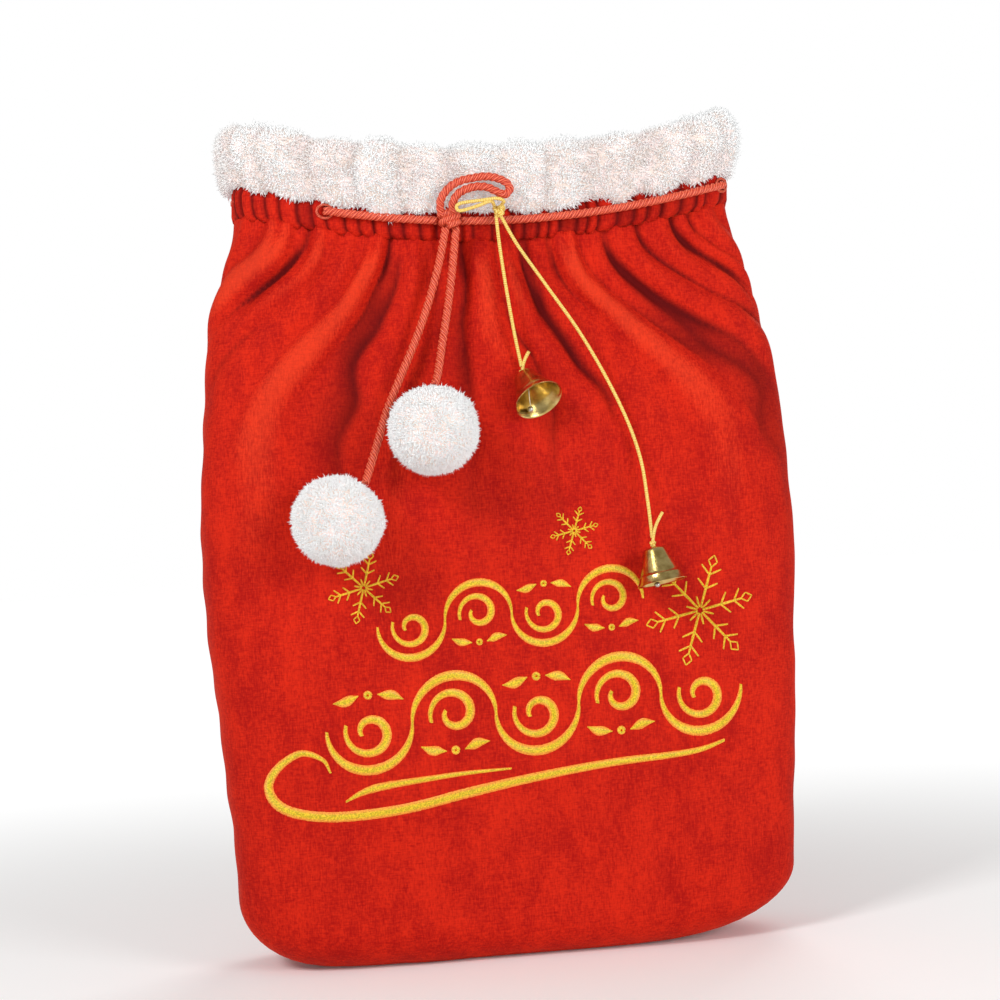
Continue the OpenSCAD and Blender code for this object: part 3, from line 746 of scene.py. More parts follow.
tail_left, tail_left_path, tail_left_length = tail(
    "tail_left_cord", tail_left_route, "tail_left", "tail_left")
tail_right, tail_right_path, tail_right_length = tail(
    "tail_right_cord", tail_right_route, "tail_right", "tail_right")

# %% [markdown]
# ## Gold elastic
# The bells hang from a thin round elastic covered in gold yarn. It loops through the bow, is
# tied, and its two ends run down to the bells, where each is knotted with a short cut end.
# Four fine strands wound tightly give the ribbed look of the covering.

# %% Elastic loop and strings
def elastic(name, route):
    line, length = smooth_line(metres(route), 0.9 * MM)
    wound = twisted_lines(line, STRING_D, 7 * MM, 4)
    piece = strands_piece(name, wound, 0.27 * STRING_D, 7, elastic_gold)
    print(name, "length", round(length, 3), "m")
    return piece, [tuple(p) for p in line[::6]] + [tuple(line[-1])], length


gold_loop, gold_loop_path, gold_loop_length = elastic("gold_loop_elastic", gold_route)
dress(gold_loop, "root", "gold_elastic", "gold_loop")
string_left, string_left_path, string_left_length = elastic(
    "bell_string_left_elastic", [[1.2, -72, 610]] + string_left_route)
dress(string_left, "string_left", "gold_elastic", "bell_string_left")
string_right, string_right_path, string_right_length = elastic(
    "bell_string_right_elastic", [[4.9, -72, 610]] + string_right_route)
dress(string_right, "string_right", "gold_elastic", "bell_string_right")

# %% Small overhand knots
def overhand(centre, size, stretch=1.0):
    """The line of an overhand knot, pulled tight round its centre."""
    t = np.linspace(0.15, 2 * math.pi - 0.15, 60)
    return np.array(centre) + size * np.stack([
        (np.sin(t) + 2 * np.sin(2 * t)) / 3, np.sin(3 * t) * 0.55,
        stretch * (np.cos(t) - 2 * np.cos(2 * t)) / 3], -1)


def cut_end(start, length):
    """A short end that stands up and to the right, bowed a little along its length."""
    lean = math.radians(20)
    t = np.linspace(0, 1, 18)[:, None]
    way = np.array([math.sin(lean), 0, math.cos(lean)])
    bow_out = np.array([0.08, 0, 0]) * length * np.sin(math.pi * t)
    return np.array(start) + way * length * t - bow_out


def string_knot(name, centre, end_length, body, node):
    lines = twisted_lines(overhand(centre, 2.1 * MM), 0.9 * MM, 5 * MM, 2)
    knot_piece = strands_piece(
        name, lines + twisted_lines(cut_end(centre, end_length), STRING_D, 7 * MM, 4),
        0.8 * MM, 8, elastic_gold)
    return dress(knot_piece, body, "gold_elastic", node)


hang_left = [16 * MM, -74 * MM, 481 * MM]
hang_right = [113 * MM, -93 * MM, 336 * MM]
gold_knot = strands_piece("gold_knot_tied", [
    overhand([4 * MM, -72 * MM, 614 * MM], 4.4 * MM),
    overhand([4 * MM, -73 * MM, 613 * MM], 3.2 * MM, -1.0)], 1.5 * MM, 9, elastic_gold)
dress(gold_knot, "root", "gold_elastic", "gold_knot")
knot_left = string_knot(
    "bell_knot_left", hang_left, 18 * MM, "string_left", "string_knot_left")
knot_right = string_knot(
    "bell_knot_right", hang_right, 27 * MM, "string_right", "string_knot_right")

# %% [markdown]
# ## Folds of the gathered velvet
# Pulled together by the cord, the cloth stands in folds: short fine ones right under the
# casing, wider ones that spread like a fan and fade over a hand's breadth, and a few long soft
# ones that run half way down. A fold is round on its ridge and sharp in its valley. Each layer
# of folds gets uneven widths, heights and lengths from a seeded draw. The cloth is shaped by
# these formulas alone: nothing in it is simulated.

# %% Folds
FAN_SHARE = 0.56


def fold_layer(share, drop, seed, count, height, reach, spread, wander=0.006):
    """Height of one layer of folds at a share across the panel and a drop below the neck."""
    draw = np.random.default_rng(seed)
    edges = np.concatenate([[0], np.cumsum(draw.uniform(0.55, 1.45, count))])
    edges /= edges[-1]
    fan = 1 + spread * soft_step(drop / (200 * MM))
    places = np.stack([share * 3, drop * 9, np.full_like(share, seed)], -1)
    neck = FAN_SHARE + (share - FAN_SHARE) / fan + wander * lumps(places, 0.35, seed)
    phase = np.interp(neck, edges, np.arange(count + 1))
    k = np.clip(phase.astype(int), 0, count - 1)
    size = draw.uniform(0.35, 1.0, count)[k]
    length = reach * draw.uniform(0.5, 1.6, count)[k]
    ridge = np.sin(math.pi * np.clip(phase - k, 0, 1)) ** 0.8
    fade = np.exp(-(drop / length) ** 2)
    return height * (size * fade * ridge - 0.42 * np.exp(-(drop / reach) ** 2))


def fold_height(share, drop, front):
    """All the folds together; the back is gathered like the front, from its own draws."""
    seed = 40 if front < 0 else 70
    tight = soft_step(drop / (30 * MM)) * 0.5 + 0.5
    fine = fold_layer(share, drop, seed, 36, 3.6 * MM, 40 * MM, 0.4)
    middle = fold_layer(share, drop, seed + 1, 18, 10.5 * MM, 150 * MM, 1.0)
    broad = fold_layer(share, drop, seed + 2, 7, 8.5 * MM, 280 * MM, 0.6, 0.02)
    hem = soft_step(share / 0.09) * soft_step((1 - share) / 0.09)
    return (fine + (middle + broad) * tight) * hem


# %% Points of a velvet panel
PANEL_COLUMNS = 300
WALL_ROWS = 150
floor_rows = [0.0, 0.35, 0.7, 1.0]


def panel_grid(front):
    share = np.linspace(0, 1, PANEL_COLUMNS)
    low = FOOT_R * (1 - np.cos(np.linspace(0, math.pi / 2, 9)))[1:]
    wall = np.linspace(FOOT_R, CASING_Z + 2 * MM, WALL_ROWS)[1:]
    z = np.concatenate([np.zeros(len(floor_rows)), low, wall])
    grid = skin(share, z, 0.0, front)
    for k, part in enumerate(floor_rows):
        grid[k, :, 1] *= part
    outward = facing(grid, np.array([0.0, front, 0.0]))
    drop = np.maximum(0, CASING_Z - z)[:, None] + 0 * share
    fold = fold_height(share + 0 * drop, drop, front)
    slack = lumps(grid, 90 * MM, 5) * 2.6 * MM + lumps(grid, 38 * MM, 6) * 1.0 * MM
    slack *= soft_step(z / (60 * MM))[:, None] * soft_step(drop / (80 * MM))
    seam = np.minimum(share, 1 - share) * 560 * MM
    tuck = -2.2 * MM * np.exp(-(seam / (5 * MM)) ** 2) * soft_step(z / (20 * MM))[:, None]
    pucker = 0.9 * MM * np.exp(-seam / (22 * MM)) * np.sin(grid[:, :, 2] / (7 * MM))
    pucker *= soft_step(z / (60 * MM))[:, None]
    held = soft_step(seam / (8 * MM))
    move = fold + slack * held + tuck + pucker * held
    move[:4] = 0
    return grid + outward * move[..., None], fold / (5 * MM)


# %% Velvet panels
fine_grids, ridges = {}, {}
for front in (-1, 1):
    fine_grids[front], ridges[front] = panel_grid(front)


def panel(name, front, node):
    grid = fine_grids[front]
    rows, columns = grid.shape[:2]
    piece = new_piece(name, grid.reshape(-1, 3), sheet_faces(rows, columns, front < 0), velvet_red)
    piece.data.materials.append(velvet_back)
    # The ridge value carries the fold height to the velvet finish, which paints shade into the
    # valleys and a highlight onto the crests.
    ridge = piece.data.attributes.new("ridge", "FLOAT", "POINT")
    ridge.data.foreach_set("value", ridges[front].ravel())
    wall = piece.modifiers.new("cloth_thickness", "SOLIDIFY")
    wall.thickness = 2.0 * MM
    wall.offset = -1
    wall.material_offset = 1
    bpy.ops.object.modifier_apply(modifier=wall.name)
    across = np.linalg.norm(np.diff(grid, axis=1), axis=2).sum(axis=1).max()
    print(name, "triangles", 2 * len(piece.data.polygons), "widest row", round(float(across), 3))
    return dress(piece, "root", "velvet", node)


front_velvet = panel("velvet_front", -1, "front_panel")
back_velvet = panel("velvet_back", 1, "back_panel")

# %% [markdown]
# ## The casing
# Above the seam the cloth is doubled to make a tunnel for the cord. It is gathered even more
# tightly than the body, and the cord makes it stand out a little. It is a band of its own,
# with short upright folds and a crease where it is sewn on.

# %% Casing
def casing(name, front, node):
    columns = 420
    share = np.linspace(0, 1, columns)
    z = np.linspace(CASING_Z - 1.5 * MM, CUFF_Z + 6 * MM, 22)
    part = (z - z[0]) / (z[-1] - z[0])
    off = MM * np.interp(part, [0, 0.12, 0.35, 0.62, 0.85, 1], [0.6, 4.2, 5.9, 6.4, 4.4, 1])
    grid = skin(share, z, off, front)
    outward = facing(grid, np.array([0.0, front, 0.0]))
    drop = np.broadcast_to((CUFF_Z - z)[:, None], grid.shape[:2])
    across = np.broadcast_to(share, grid.shape[:2])
    fold = fold_layer(across, drop * 0.2, 40 if front < 0 else 70, 38, 3.0 * MM, 46 * MM, 0)
    small = fold_layer(across, drop * 0.2, 91, 75, 1.4 * MM, 46 * MM, 0)
    ends = 1 - soft_step(np.minimum(share, 1 - share) / 0.07)
    flat = 0.85 * off[:, None] * ends
    grid = grid + outward * (
        (fold + small) * soft_step((1 - part) * 4 + 0.25)[:, None] - flat)[..., None]
    piece = new_piece(
        name, grid.reshape(-1, 3), sheet_faces(len(z), columns, front < 0), velvet_red)
    # The ridge value feeds the painted valley shade and crest highlight of the velvet finish.
    ridge = piece.data.attributes.new("ridge", "FLOAT", "POINT")
    ridge.data.foreach_set("value", (fold / (2.5 * MM) - 0.35).ravel())
    wall = piece.modifiers.new("cloth_thickness", "SOLIDIFY")
    wall.thickness = 1.0 * MM
    wall.offset = -1
    bpy.ops.object.modifier_apply(modifier=wall.name)
    return dress(piece, "root", "velvet", node)


casing_front = casing("casing_front_gathered", -1, "casing_front")
casing_back = casing("casing_back_gathered", 1, "casing_back")

# %% Buttonholes
def buttonhole(name, x, node):
    """A ring of close satin stitches round the slot where the cord comes out."""
    place = np.array(cord_on_front(x))
    ahead = np.array(cord_on_front(x + 4 * MM)) - np.array(cord_on_front(x - 4 * MM))
    ahead /= np.linalg.norm(ahead)
    upward = np.array([0.0, 0.0, 1.0])
    upward -= ahead * np.dot(upward, ahead)
    upward /= np.linalg.norm(upward)
    out = np.cross(upward, ahead)
    out *= -np.sign(out[1])
    turn_share = np.linspace(0, 2 * math.pi, 121)
    line = np.array([
        place - out * 3.2 * MM + ahead * 6.4 * MM * math.cos(a) + upward * 5.4 * MM * math.sin(a)
        for a in turn_share])
    radius = np.where(np.arange(121) % 2 == 0, 1.25 * MM, 0.95 * MM)
    piece = strands_piece(name, [line], 1.1 * MM, 8, cord_red)
    points = np.empty(len(piece.data.vertices) * 3)
    piece.data.vertices.foreach_get("co", points)
    points = points.reshape(121, 8, 3)
    middle = points.mean(axis=1, keepdims=True)
    points = middle + (points - middle) * (radius / (1.1 * MM))[:, None, None]
    piece.data.vertices.foreach_set("co", points.ravel())
    return dress(piece, "root", "twisted_cord", node)


buttonhole_left = buttonhole("buttonhole_left", -137 * MM, "eyelet_left")
buttonhole_right = buttonhole("buttonhole_right", 203 * MM, "eyelet_right")

# %% [markdown]
# ## Plush
# Plush is a dense coat of short soft tufts. A smooth form alone looks like plaster, because
# its outline is clean. So the form is first made lumpy, then covered with thousands of small
# closed tufts of three sides, bent and of uneven length, which break up the outline.

# %% Tufts
def tuft_coat(form_points, form_faces, lit_share, spacing, length, width, seed, lean=0.55):
    """Tufts spread over triangles; returns their points, faces and painted shade values.

    The fourth argument is 0 in the hollows of the form, 1 on its lumps and lower on its
    undersides. The values are painted shade: each tuft is darker at its root than at its tip,
    and darker all over where that argument is low, in the hollows and underneath."""
    draw = np.random.default_rng(seed)
    tri = form_points[form_faces]
    normal = np.cross(tri[:, 1] - tri[:, 0], tri[:, 2] - tri[:, 0])
    area = np.linalg.norm(normal, axis=1) / 2
    keep = area > 1e-12
    tri, normal, area = tri[keep], normal[keep] / (2 * area[keep])[:, None], area[keep]
    count = int(area.sum() / spacing ** 2)
    pick = draw.choice(len(area), count, p=area / area.sum())
    a, b = draw.random((2, count, 1))
    flip = (a + b) > 1
    a, b = np.where(flip, 1 - a, a), np.where(flip, 1 - b, b)
    t = tri[pick]
    root = t[:, 0] + a * (t[:, 1] - t[:, 0]) + b * (t[:, 2] - t[:, 0])
    n = normal[pick]
    comb = np.stack([lumps(root, 11 * MM, seed + i) for i in range(3)], -1)
    stray = draw.normal(0, 0.22, (count, 3))
    way = n + lean * comb + stray
    way /= np.linalg.norm(way, axis=1, keepdims=True)
    side = np.cross(way, draw.normal(0, 1, (count, 3)))
    side /= np.maximum(np.linalg.norm(side, axis=1, keepdims=True), 1e-9)
    other = np.cross(way, side)
    high = length * draw.uniform(0.65, 1.15, (count, 1))
    wide = width * draw.uniform(0.75, 1.2, (count, 1))
    bend = draw.normal(0, 0.28, (count, 3)) * high
    base = root - n * 0.5 * MM
    corners = [(math.cos(a), math.sin(a)) for a in (0, 2 * math.pi / 3, 4 * math.pi / 3)]
    rings = []
    for share, fat in ((0.0, 1.0), (0.6, 0.9)):
        centre = base + way * high * share + bend * share ** 2
        rings += [centre + fat * wide * (c * side + s * other) for c, s in corners]
    tip = base + way * high * 1.05 + bend
    points = np.stack(rings + [tip], 1)
    sides = [(i, (i + 1) % 3, 3 + (i + 1) % 3, 3 + i) for i in range(3)]
    caps = [(3 + i, 3 + (i + 1) % 3, 6) for i in range(3)]
    start = np.arange(count)[:, None] * 7
    faces = [f for shape in [(0, 2, 1)] + sides + caps
             for f in (start + np.array(shape)).tolist()]
    # Painted shade: each tuft is darker at its root than at its tip, and darker all over where the
    # lit share of its place is low, in hollows and underneath.
    lit = np.repeat(lit_share[form_faces[keep][pick]].mean(axis=1), 7)
    painted_pile_shade = np.tile(np.repeat([0.3, 0.85, 1.0], [3, 3, 1]), count) * (0.45 + 0.55 * lit)
    return points.reshape(-1, 3), faces, painted_pile_shade


def plush_piece(name, grid_points, quads, lit_share, spacing, length, width, seed):
    """A lumpy closed form with its coat of tufts, as one piece."""
    tri = np.array([t for q in quads for t in (
        [(q[0], q[1], q[2]), (q[0], q[2], q[3])] if len(q) == 4 else [tuple(q)])])
    coat, coat_faces, painted_pile_shade = tuft_coat(
        grid_points, tri, lit_share, spacing, length, width, seed)
    first = len(grid_points)
    faces = list(quads) + [tuple(i + first for i in f) for f in coat_faces]
    piece = new_piece(name, np.vstack([grid_points, coat]), faces, plush_white)
    # The tip attribute carries the tufts' painted shade to the plush finish.
    tip = piece.data.attributes.new("tip", "FLOAT", "POINT")
    tip.data.foreach_set("value", np.concatenate([np.zeros(first), painted_pile_shade]))
    print(name, "tufts", len(coat) // 7, "faces", len(piece.data.polygons))
    return piece


# %% Cuff
cuff_section = np.array([
    [-3, 0.01], [4, -0.01], [9, 0.00], [12, 0.06], [14, 0.18], [16, 0.34], [17, 0.52], [17, 0.68],
    [15, 0.82], [11, 0.92], [5, 0.97], [-1, 0.96], [-5, 0.88], [-7, 0.70], [-7, 0.45], [-7, 0.20],
    [-6, 0.04]])


def cuff(name, front, node, seed):
    columns = 190
    share = np.linspace(0, 1, columns)
    closed = np.vstack([cuff_section, cuff_section[:1]])
    outline, _ = smooth_line(np.column_stack([
        closed[:, 0] * MM, closed[:, 1] * CUFF_H, np.zeros(len(closed))]), 3.4 * MM)
    outline = outline[:-1]
    grid = np.concatenate([
        skin(share, [CUFF_Z + z], [off], front) for off, z in outline[:, :2]], 0)
    middle = grid.mean(axis=0, keepdims=True)
    outward = grid - middle
    outward /= np.linalg.norm(outward, axis=-1, keepdims=True)
    across = np.broadcast_to(share, grid.shape[:2])
    swell = lumps(grid, 34 * MM, seed) * 3.2 * MM + lumps(grid, 16 * MM, seed + 1) * 2.2 * MM
    swell += lumps(grid, 8 * MM, seed + 2) * 1.1 * MM
    low = np.clip(-outward[..., 2], 0, 1)
    gather = fold_layer(across, 0 * across, seed + 3, 13, 7.5 * MM, 1.0, 0)
    scallop = np.maximum(0, lumps(np.stack([
        across * 22, 0 * across, 0 * across + seed], -1), 1.0, seed + 4)) * 8.5 * MM
    ends = soft_step(share / 0.02) * soft_step((1 - share) / 0.02)
    grid = grid + outward * ((swell + gather - 1.2 * MM) * ends)[..., None]
    # Painted shade: the tufts are painted darker in the hollows between the lumps and on the
    # underside of the cuff.
    lit_share = soft_step((swell + gather + 3 * MM) / (7 * MM)) * (1 - 0.5 * low)
    grid[..., 2] -= scallop * low * ends
    height = np.clip((grid[..., 2] - CUFF_Z) / CUFF_H, 0, 1)
    lean = np.interp(across, [0, 0.12, 0.90, 1], np.array([12, 0, 0, -5]) * MM)
    grid[..., 0] -= lean * (0.45 + 0.55 * height)
    rows = len(grid)
    ring = np.concatenate([grid, grid[:1]], 0)
    quads = sheet_faces(rows + 1, columns, front < 0)
    last = rows * columns
    quads = [tuple(i - last if i >= last else i for i in q) for q in quads]
    cap_right = [r * columns for r in range(rows)]
    cap_left = [r * columns + columns - 1 for r in range(rows)]
    caps = [cap_right[::-1], cap_left] if front < 0 else [cap_right, cap_left[::-1]]
    fan = [(c[0], c[i], c[i + 1]) for c in caps for i in range(1, rows - 1)]
    piece = plush_piece(
        name, ring[:-1].reshape(-1, 3), quads + fan, lit_share.ravel(),
        1.35 * MM, 4.0 * MM, 0.62 * MM, seed)
    return dress(piece, "root", "plush", node)


cuff_front = cuff("plush_cuff_front", -1, "fur_cuff_front", 11)
cuff_back = cuff("plush_cuff_back", 1, "fur_cuff_back", 23)

# %% Pompoms
POMPOM_R = 37 * MM


def pompom(name, centre, cord_from, body, node, seed):
    """A clipped ball of tufts with a dimple where the cord goes in."""
    nothing_selected()
    bpy.ops.mesh.primitive_ico_sphere_add(subdivisions=5, radius=1, location=(0, 0, 0))
    ball = bpy.context.object
    way = np.empty(len(ball.data.vertices) * 3)
    ball.data.vertices.foreach_get("co", way)
    way = way.reshape(-1, 3)
    tri = np.array([p.vertices[:] for p in ball.data.polygons])
    bpy.data.objects.remove(ball)
    inlet = np.array(cord_from) - np.array(centre)
    inlet /= np.linalg.norm(inlet)
    dimple = np.exp(-((1 - way @ inlet) / 0.035)) * 6 * MM
    radius = POMPOM_R - 3.4 * MM + lumps(way, 0.75, seed) * 1.5 * MM
    radius += lumps(way, 0.3, seed + 1) * 1.0 * MM - dimple
    points = np.array(centre) + way * radius[:, None]
    # The underside of the pompom is painted darker, as painted shade.
    piece = plush_piece(
        name, points, tri.tolist(), 1 - 0.6 * soft_step(-way[:, 2] * 1.3 - 0.2),
        1.15 * MM, 3.4 * MM, 0.55 * MM, seed)
    return dress(piece, body, "plush", node)


pompom_left_at = np.array([-142, -111, 367]) * MM
pompom_right_at = np.array([-63, -109, 436]) * MM
pompom_left = pompom("pompom_left_plush", pompom_left_at, tail_left_path[-1],
                     "tail_left", "pompom_left", 31)
pompom_right = pompom("pompom_right_plush", pompom_right_at, tail_right_path[-1],
                      "tail_right", "pompom_right", 37)

# %% [markdown]
# ## Bells
# Each bell is pressed from thin brass: a flat crown, a straight flaring side, a raised line
# and a lip that turns outwards. A circle is added at the hole in the crown and its edge is
# extruded and scaled again and again down the outside, round the lip and back up the inside,
# as the metal would be spun over a form.

# %% Bell outline in millimetres: radius and height below the hanging point
bell_outline = [
    (1.6, -3.3), (5.0, -3.2), (7.4, -3.4), (8.5, -3.9), (9.2, -5.2), (10.2, -8.4), (11.4, -12.0),
    (12.7, -15.6), (14.1, -19.4), (15.4, -22.8), (16.3, -24.8), (17.1, -25.2), (17.4, -25.7),
    (17.5, -26.5), (18.2, -28.4), (19.2, -30.4), (20.1, -31.7), (20.5, -32.2), (20.3, -32.6),
    (19.6, -32.4), (18.9, -31.4), (17.6, -29.0), (16.4, -26.4), (15.3, -25.0), (14.2, -22.6),
    (12.9, -19.2), (11.5, -15.6), (10.2, -12.0), (9.0, -8.4), (8.1, -5.8), (7.1, -4.8),
    (5.0, -4.5), (1.6, -4.5)]


def spun_bell(name):
    nothing_selected()
    radius, height = bell_outline[0]
    bpy.ops.mesh.primitive_circle_add(
        vertices=96, radius=radius * MM, location=(0, 0, height * MM))
    bell = bpy.context.object
    bell.name = name
    bpy.ops.object.transform_apply(location=True, rotation=True, scale=True)
    bpy.ops.object.mode_set(mode="EDIT")
    bpy.ops.mesh.select_all(action="SELECT")
    for (r0, z0), (r1, z1) in zip(bell_outline[:-1], bell_outline[1:]):
        bpy.ops.mesh.extrude_region_move(TRANSFORM_OT_translate={"value": (0, 0, (z1 - z0) * MM)})
        bpy.ops.transform.resize(
            value=(r1 / r0, r1 / r0, 1), center_override=(0, 0, z1 * MM))
    bpy.ops.mesh.select_all(action="DESELECT")
    bpy.ops.mesh.select_non_manifold()
    bpy.ops.mesh.bridge_edge_loops()
    bpy.ops.mesh.select_all(action="SELECT")
    bpy.ops.mesh.normals_make_consistent(inside=False)
    bpy.ops.object.mode_set(mode="OBJECT")
    bpy.ops.object.shade_smooth_by_angle(angle=math.radians(45))
    bell.data.materials.append(brass)
    return bell


def placed(piece, place, turns):
    """Move a finished piece's mesh to its place; the object itself stays at the origin."""
    angles = [math.radians(a) for a in turns]
    piece.data.transform(Matrix.Translation(place) @ Euler(angles).to_matrix().to_4x4())
    return piece


bell_left_turn = (-42, 0, 25)
bell_right_turn = (-8, -9, 0)
bell_left = dress(placed(spun_bell("bell_left_brass"), hang_left, bell_left_turn),
                  "bell_left", "bell_brass", "bell_left")
bell_right = dress(placed(spun_bell("bell_right_brass"), hang_right, bell_right_turn),
                   "bell_right", "bell_brass", "bell_right")
print("bell faces", len(bell_left.data.polygons))

# %% [markdown]
# ## Clappers
# Under each crown a wire eye is riveted through a small washer. The clapper is a wire with an
# eye of its own, linked through the first, and a bead at its end. The eyes are rings, so that
# one really passes through the other.

# %% Wire parts
PIVOT = 10.3 * MM
WIRE_R = 0.55 * MM
EYE_R = 1.5 * MM


def joined(name, parts, finish):
    nothing_selected()
    for part in parts:
        part.select_set(True)
    bpy.context.view_layer.objects.active = parts[0]
    bpy.ops.object.join()
    piece = bpy.context.object
    piece.name = name
    bpy.ops.object.transform_apply(location=True, rotation=True, scale=True)
    bpy.ops.object.shade_smooth_by_angle(angle=math.radians(40))
    piece.data.materials.clear()
    piece.data.materials.append(finish)
    return piece


def wire_eye(height, quarter):
    nothing_selected()
    bpy.ops.mesh.primitive_torus_add(
        major_radius=EYE_R, minor_radius=WIRE_R, major_segments=36, minor_segments=12,
        location=(0, 0, height), rotation=(math.pi / 2, 0, quarter))
    return bpy.context.object


def turned_rod(radius, low, high, bead=None):
    """A rod shaped from a disc by extrusion, with flat ends and an optional bead at its lower end.
    """
    nothing_selected()
    bpy.ops.mesh.primitive_circle_add(
        vertices=20, radius=radius, location=(0, 0, high), fill_type="NGON")
    rod = bpy.context.object
    bpy.ops.object.transform_apply(location=True, rotation=True, scale=True)
    steps = [(low, radius)]
    if bead:
        t = np.linspace(0.12, math.pi - 0.1, 14)
        steps = [(low + bead * math.cos(a), bead * math.sin(a)) for a in t]
    bpy.ops.object.mode_set(mode="EDIT")
    bpy.ops.mesh.select_all(action="SELECT")
    z0, r0 = high, radius
    for z1, r1 in steps:
        bpy.ops.mesh.extrude_region_move(TRANSFORM_OT_translate={"value": (0, 0, z1 - z0)})
        bpy.ops.transform.resize(value=(r1 / r0, r1 / r0, 1), center_override=(0, 0, z1))
        z0, r0 = z1, r1
    bpy.ops.mesh.select_all(action="SELECT")
    bpy.ops.mesh.normals_make_consistent(inside=False)
    bpy.ops.object.mode_set(mode="OBJECT")
    return rod


def hook(name, place, turns):
    washer = turned_rod(3.0 * MM, -5.1 * MM, -4.5 * MM)
    stem = turned_rod(WIRE_R, -(PIVOT - EYE_R), -4.6 * MM)
    return placed(joined(name, [washer, stem, wire_eye(-PIVOT, 0)], nickel), place, turns)


def clapper(name, hang, turns, lean):
    rod = turned_rod(WIRE_R, -23 * MM, -EYE_R, 2.6 * MM)
    piece = joined(name, [rod, wire_eye(0, math.pi / 2)], nickel)
    angles = Euler([math.radians(a) for a in turns])
    pivot = Vector(hang) + angles.to_matrix() @ Vector((0, 0, -PIVOT))
    return placed(piece, pivot, lean)


hook_left = dress(hook("clapper_eye_left", hang_left, bell_left_turn),
                  "bell_left", "wire", "clapper_hook_left")
hook_right = dress(hook("clapper_eye_right", hang_right, bell_right_turn),
                   "bell_right", "wire", "clapper_hook_right")
clapper_left = dress(clapper("clapper_left_wire", hang_left, bell_left_turn, (-6, 0, 25)),
                     "clapper_left", "wire", "clapper_left")
clapper_right = dress(clapper("clapper_right_wire", hang_right, bell_right_turn, (0, 0, 0)),
                      "clapper_right", "wire", "clapper_right")

# %% [markdown]
# ## Embroidery
# The gold ornament is satin stitch: threads laid side by side across each stroke, over a
# padding that makes them swell. Every stroke is a raised strip that follows the cloth, with
# one small ridge for each thread, slanted and slightly uneven. The motifs are snowflakes, two
# rows of scrollwork and a long underline.

# %% Height of the front cloth
front_grid = fine_grids[-1]
front_tree = BVHTree.FromPolygons(
    front_grid.reshape(-1, 3).tolist(), sheet_faces(*front_grid.shape[:2], True))


def cloth_y(x, z):
    hit = front_tree.ray_cast(Vector((x, -0.3, z)), Vector((0, 1, 0)))[0]
    return hit.y if hit else float(front_y(x, z))


# %% One satin-stitched stroke
STITCH = 0.42 * MM
STITCH_H = 1.25 * MM
stitch_draw = np.random.default_rng(77)
stitch_section = [(-1, -0.2), (-0.66, 0.68), (-0.12, 1), (0.12, 1), (0.66, 0.68), (1, -0.2),
                  (0, -0.7)]


def satin_stroke(places, widths, store):
    """Adds a stroke through [x, z] places, with a width at each, to a store of geometry."""
    spread = 5.0
    line, _ = smooth_line(
        [[x * MM, z * MM, w * MM / spread] for (x, z), w in zip(places, widths)], STITCH)
    flat = line[:, :2]
    width = np.maximum(line[:, 2] * spread, 0.3 * MM)
    along = np.gradient(flat, axis=0)
    along /= np.linalg.norm(along, axis=1, keepdims=True)
    across = np.stack([-along[:, 1], along[:, 0]], -1)
    points, faces, edges = store
    start = len(points)
    size = len(stitch_section)
    for k, (place, w) in enumerate(zip(flat, width)):
        crest = 1.0 if k % 2 else 0.74
        ragged = 1 + stitch_draw.uniform(-0.05, 0.05)
        height = STITCH_H * min(1.0, 0.55 + w / (5 * MM)) * crest
        for s, h in stitch_section:
            spot = place + across[k] * s * w / 2 * ragged + along[k] * s * w * 0.16
            points.append((spot[0], cloth_y(*spot) - h * height, spot[1]))
            edges.append(abs(s))
    for k in range(len(flat) - 1):
        a = start + k * size
        for i in range(size):
            j = (i + 1) % size
            faces.append((a + i, a + size + i, a + size + j, a + j))
    last = start + (len(flat) - 1) * size
    faces.append(tuple(range(start, start + size)))
    faces.append(tuple(range(last + size - 1, last - 1, -1)))


def stitched(name, draw_strokes, node):
    store = ([], [], [])
    draw_strokes(lambda places, widths: satin_stroke(places, widths, store))
    piece = new_piece(name, store[0], store[1], thread_gold, smooth=False)
    edge = piece.data.attributes.new("edge", "FLOAT", "POINT")
    edge.data.foreach_set("value", store[2])
    print(name, "faces", len(piece.data.polygons))
    return dress(piece, "root", "gold_thread", node)


# %% Snowflakes
def polar(centre, radius, degrees):
    a = math.radians(degrees)
    return [centre[0] + radius * math.cos(a), centre[1] + radius * math.sin(a)]


def straight(stroke, start, end, width):
    middle = [(p + q) / 2 for p, q in zip(start, end)]
    stroke([start, middle, end], [width * 0.8, width, width * 0.7])


def snowflake(centre, radius, turned, width):
    """Six arms with two pairs of branches and a diamond tip, and short rays between."""
    def strokes(stroke):
        for k in range(6):
            a = turned + 60 * k
            straight(
                stroke, polar(centre, 0.05 * radius, a), polar(centre, 0.80 * radius, a), width)
            straight(stroke, polar(centre, 0.06 * radius, a + 30),
                     polar(centre, 0.26 * radius, a + 30), 0.8 * width)
            for share, length in ((0.40, 0.24), (0.66, 0.24)):
                root = polar(centre, share * radius, a)
                for way in (-52, 52):
                    straight(stroke, root, polar(root, length * radius, a + way), 0.75 * width)
            tip, foot = polar(centre, 1.02 * radius, a), polar(centre, 0.80 * radius, a)
            middle = polar(centre, 0.91 * radius, a)
            for way in (-90, 90):
                corner = polar(middle, 0.085 * radius, a + way)
                straight(stroke, foot, corner, 0.6 * width)
                straight(stroke, corner, tip, 0.6 * width)
    return strokes


flake_small = stitched("snowflake_small_stitched", snowflake([52, 350], 20, 12, 1.9),
                       "snowflake_small")
flake_left = stitched("snowflake_left_stitched", snowflake([-123, 313], 29, 15, 2.2),
                      "snowflake_left")
flake_large = stitched("snowflake_large_stitched", snowflake([154, 279], 46, 12, 2.8),
                       "snowflake_large")

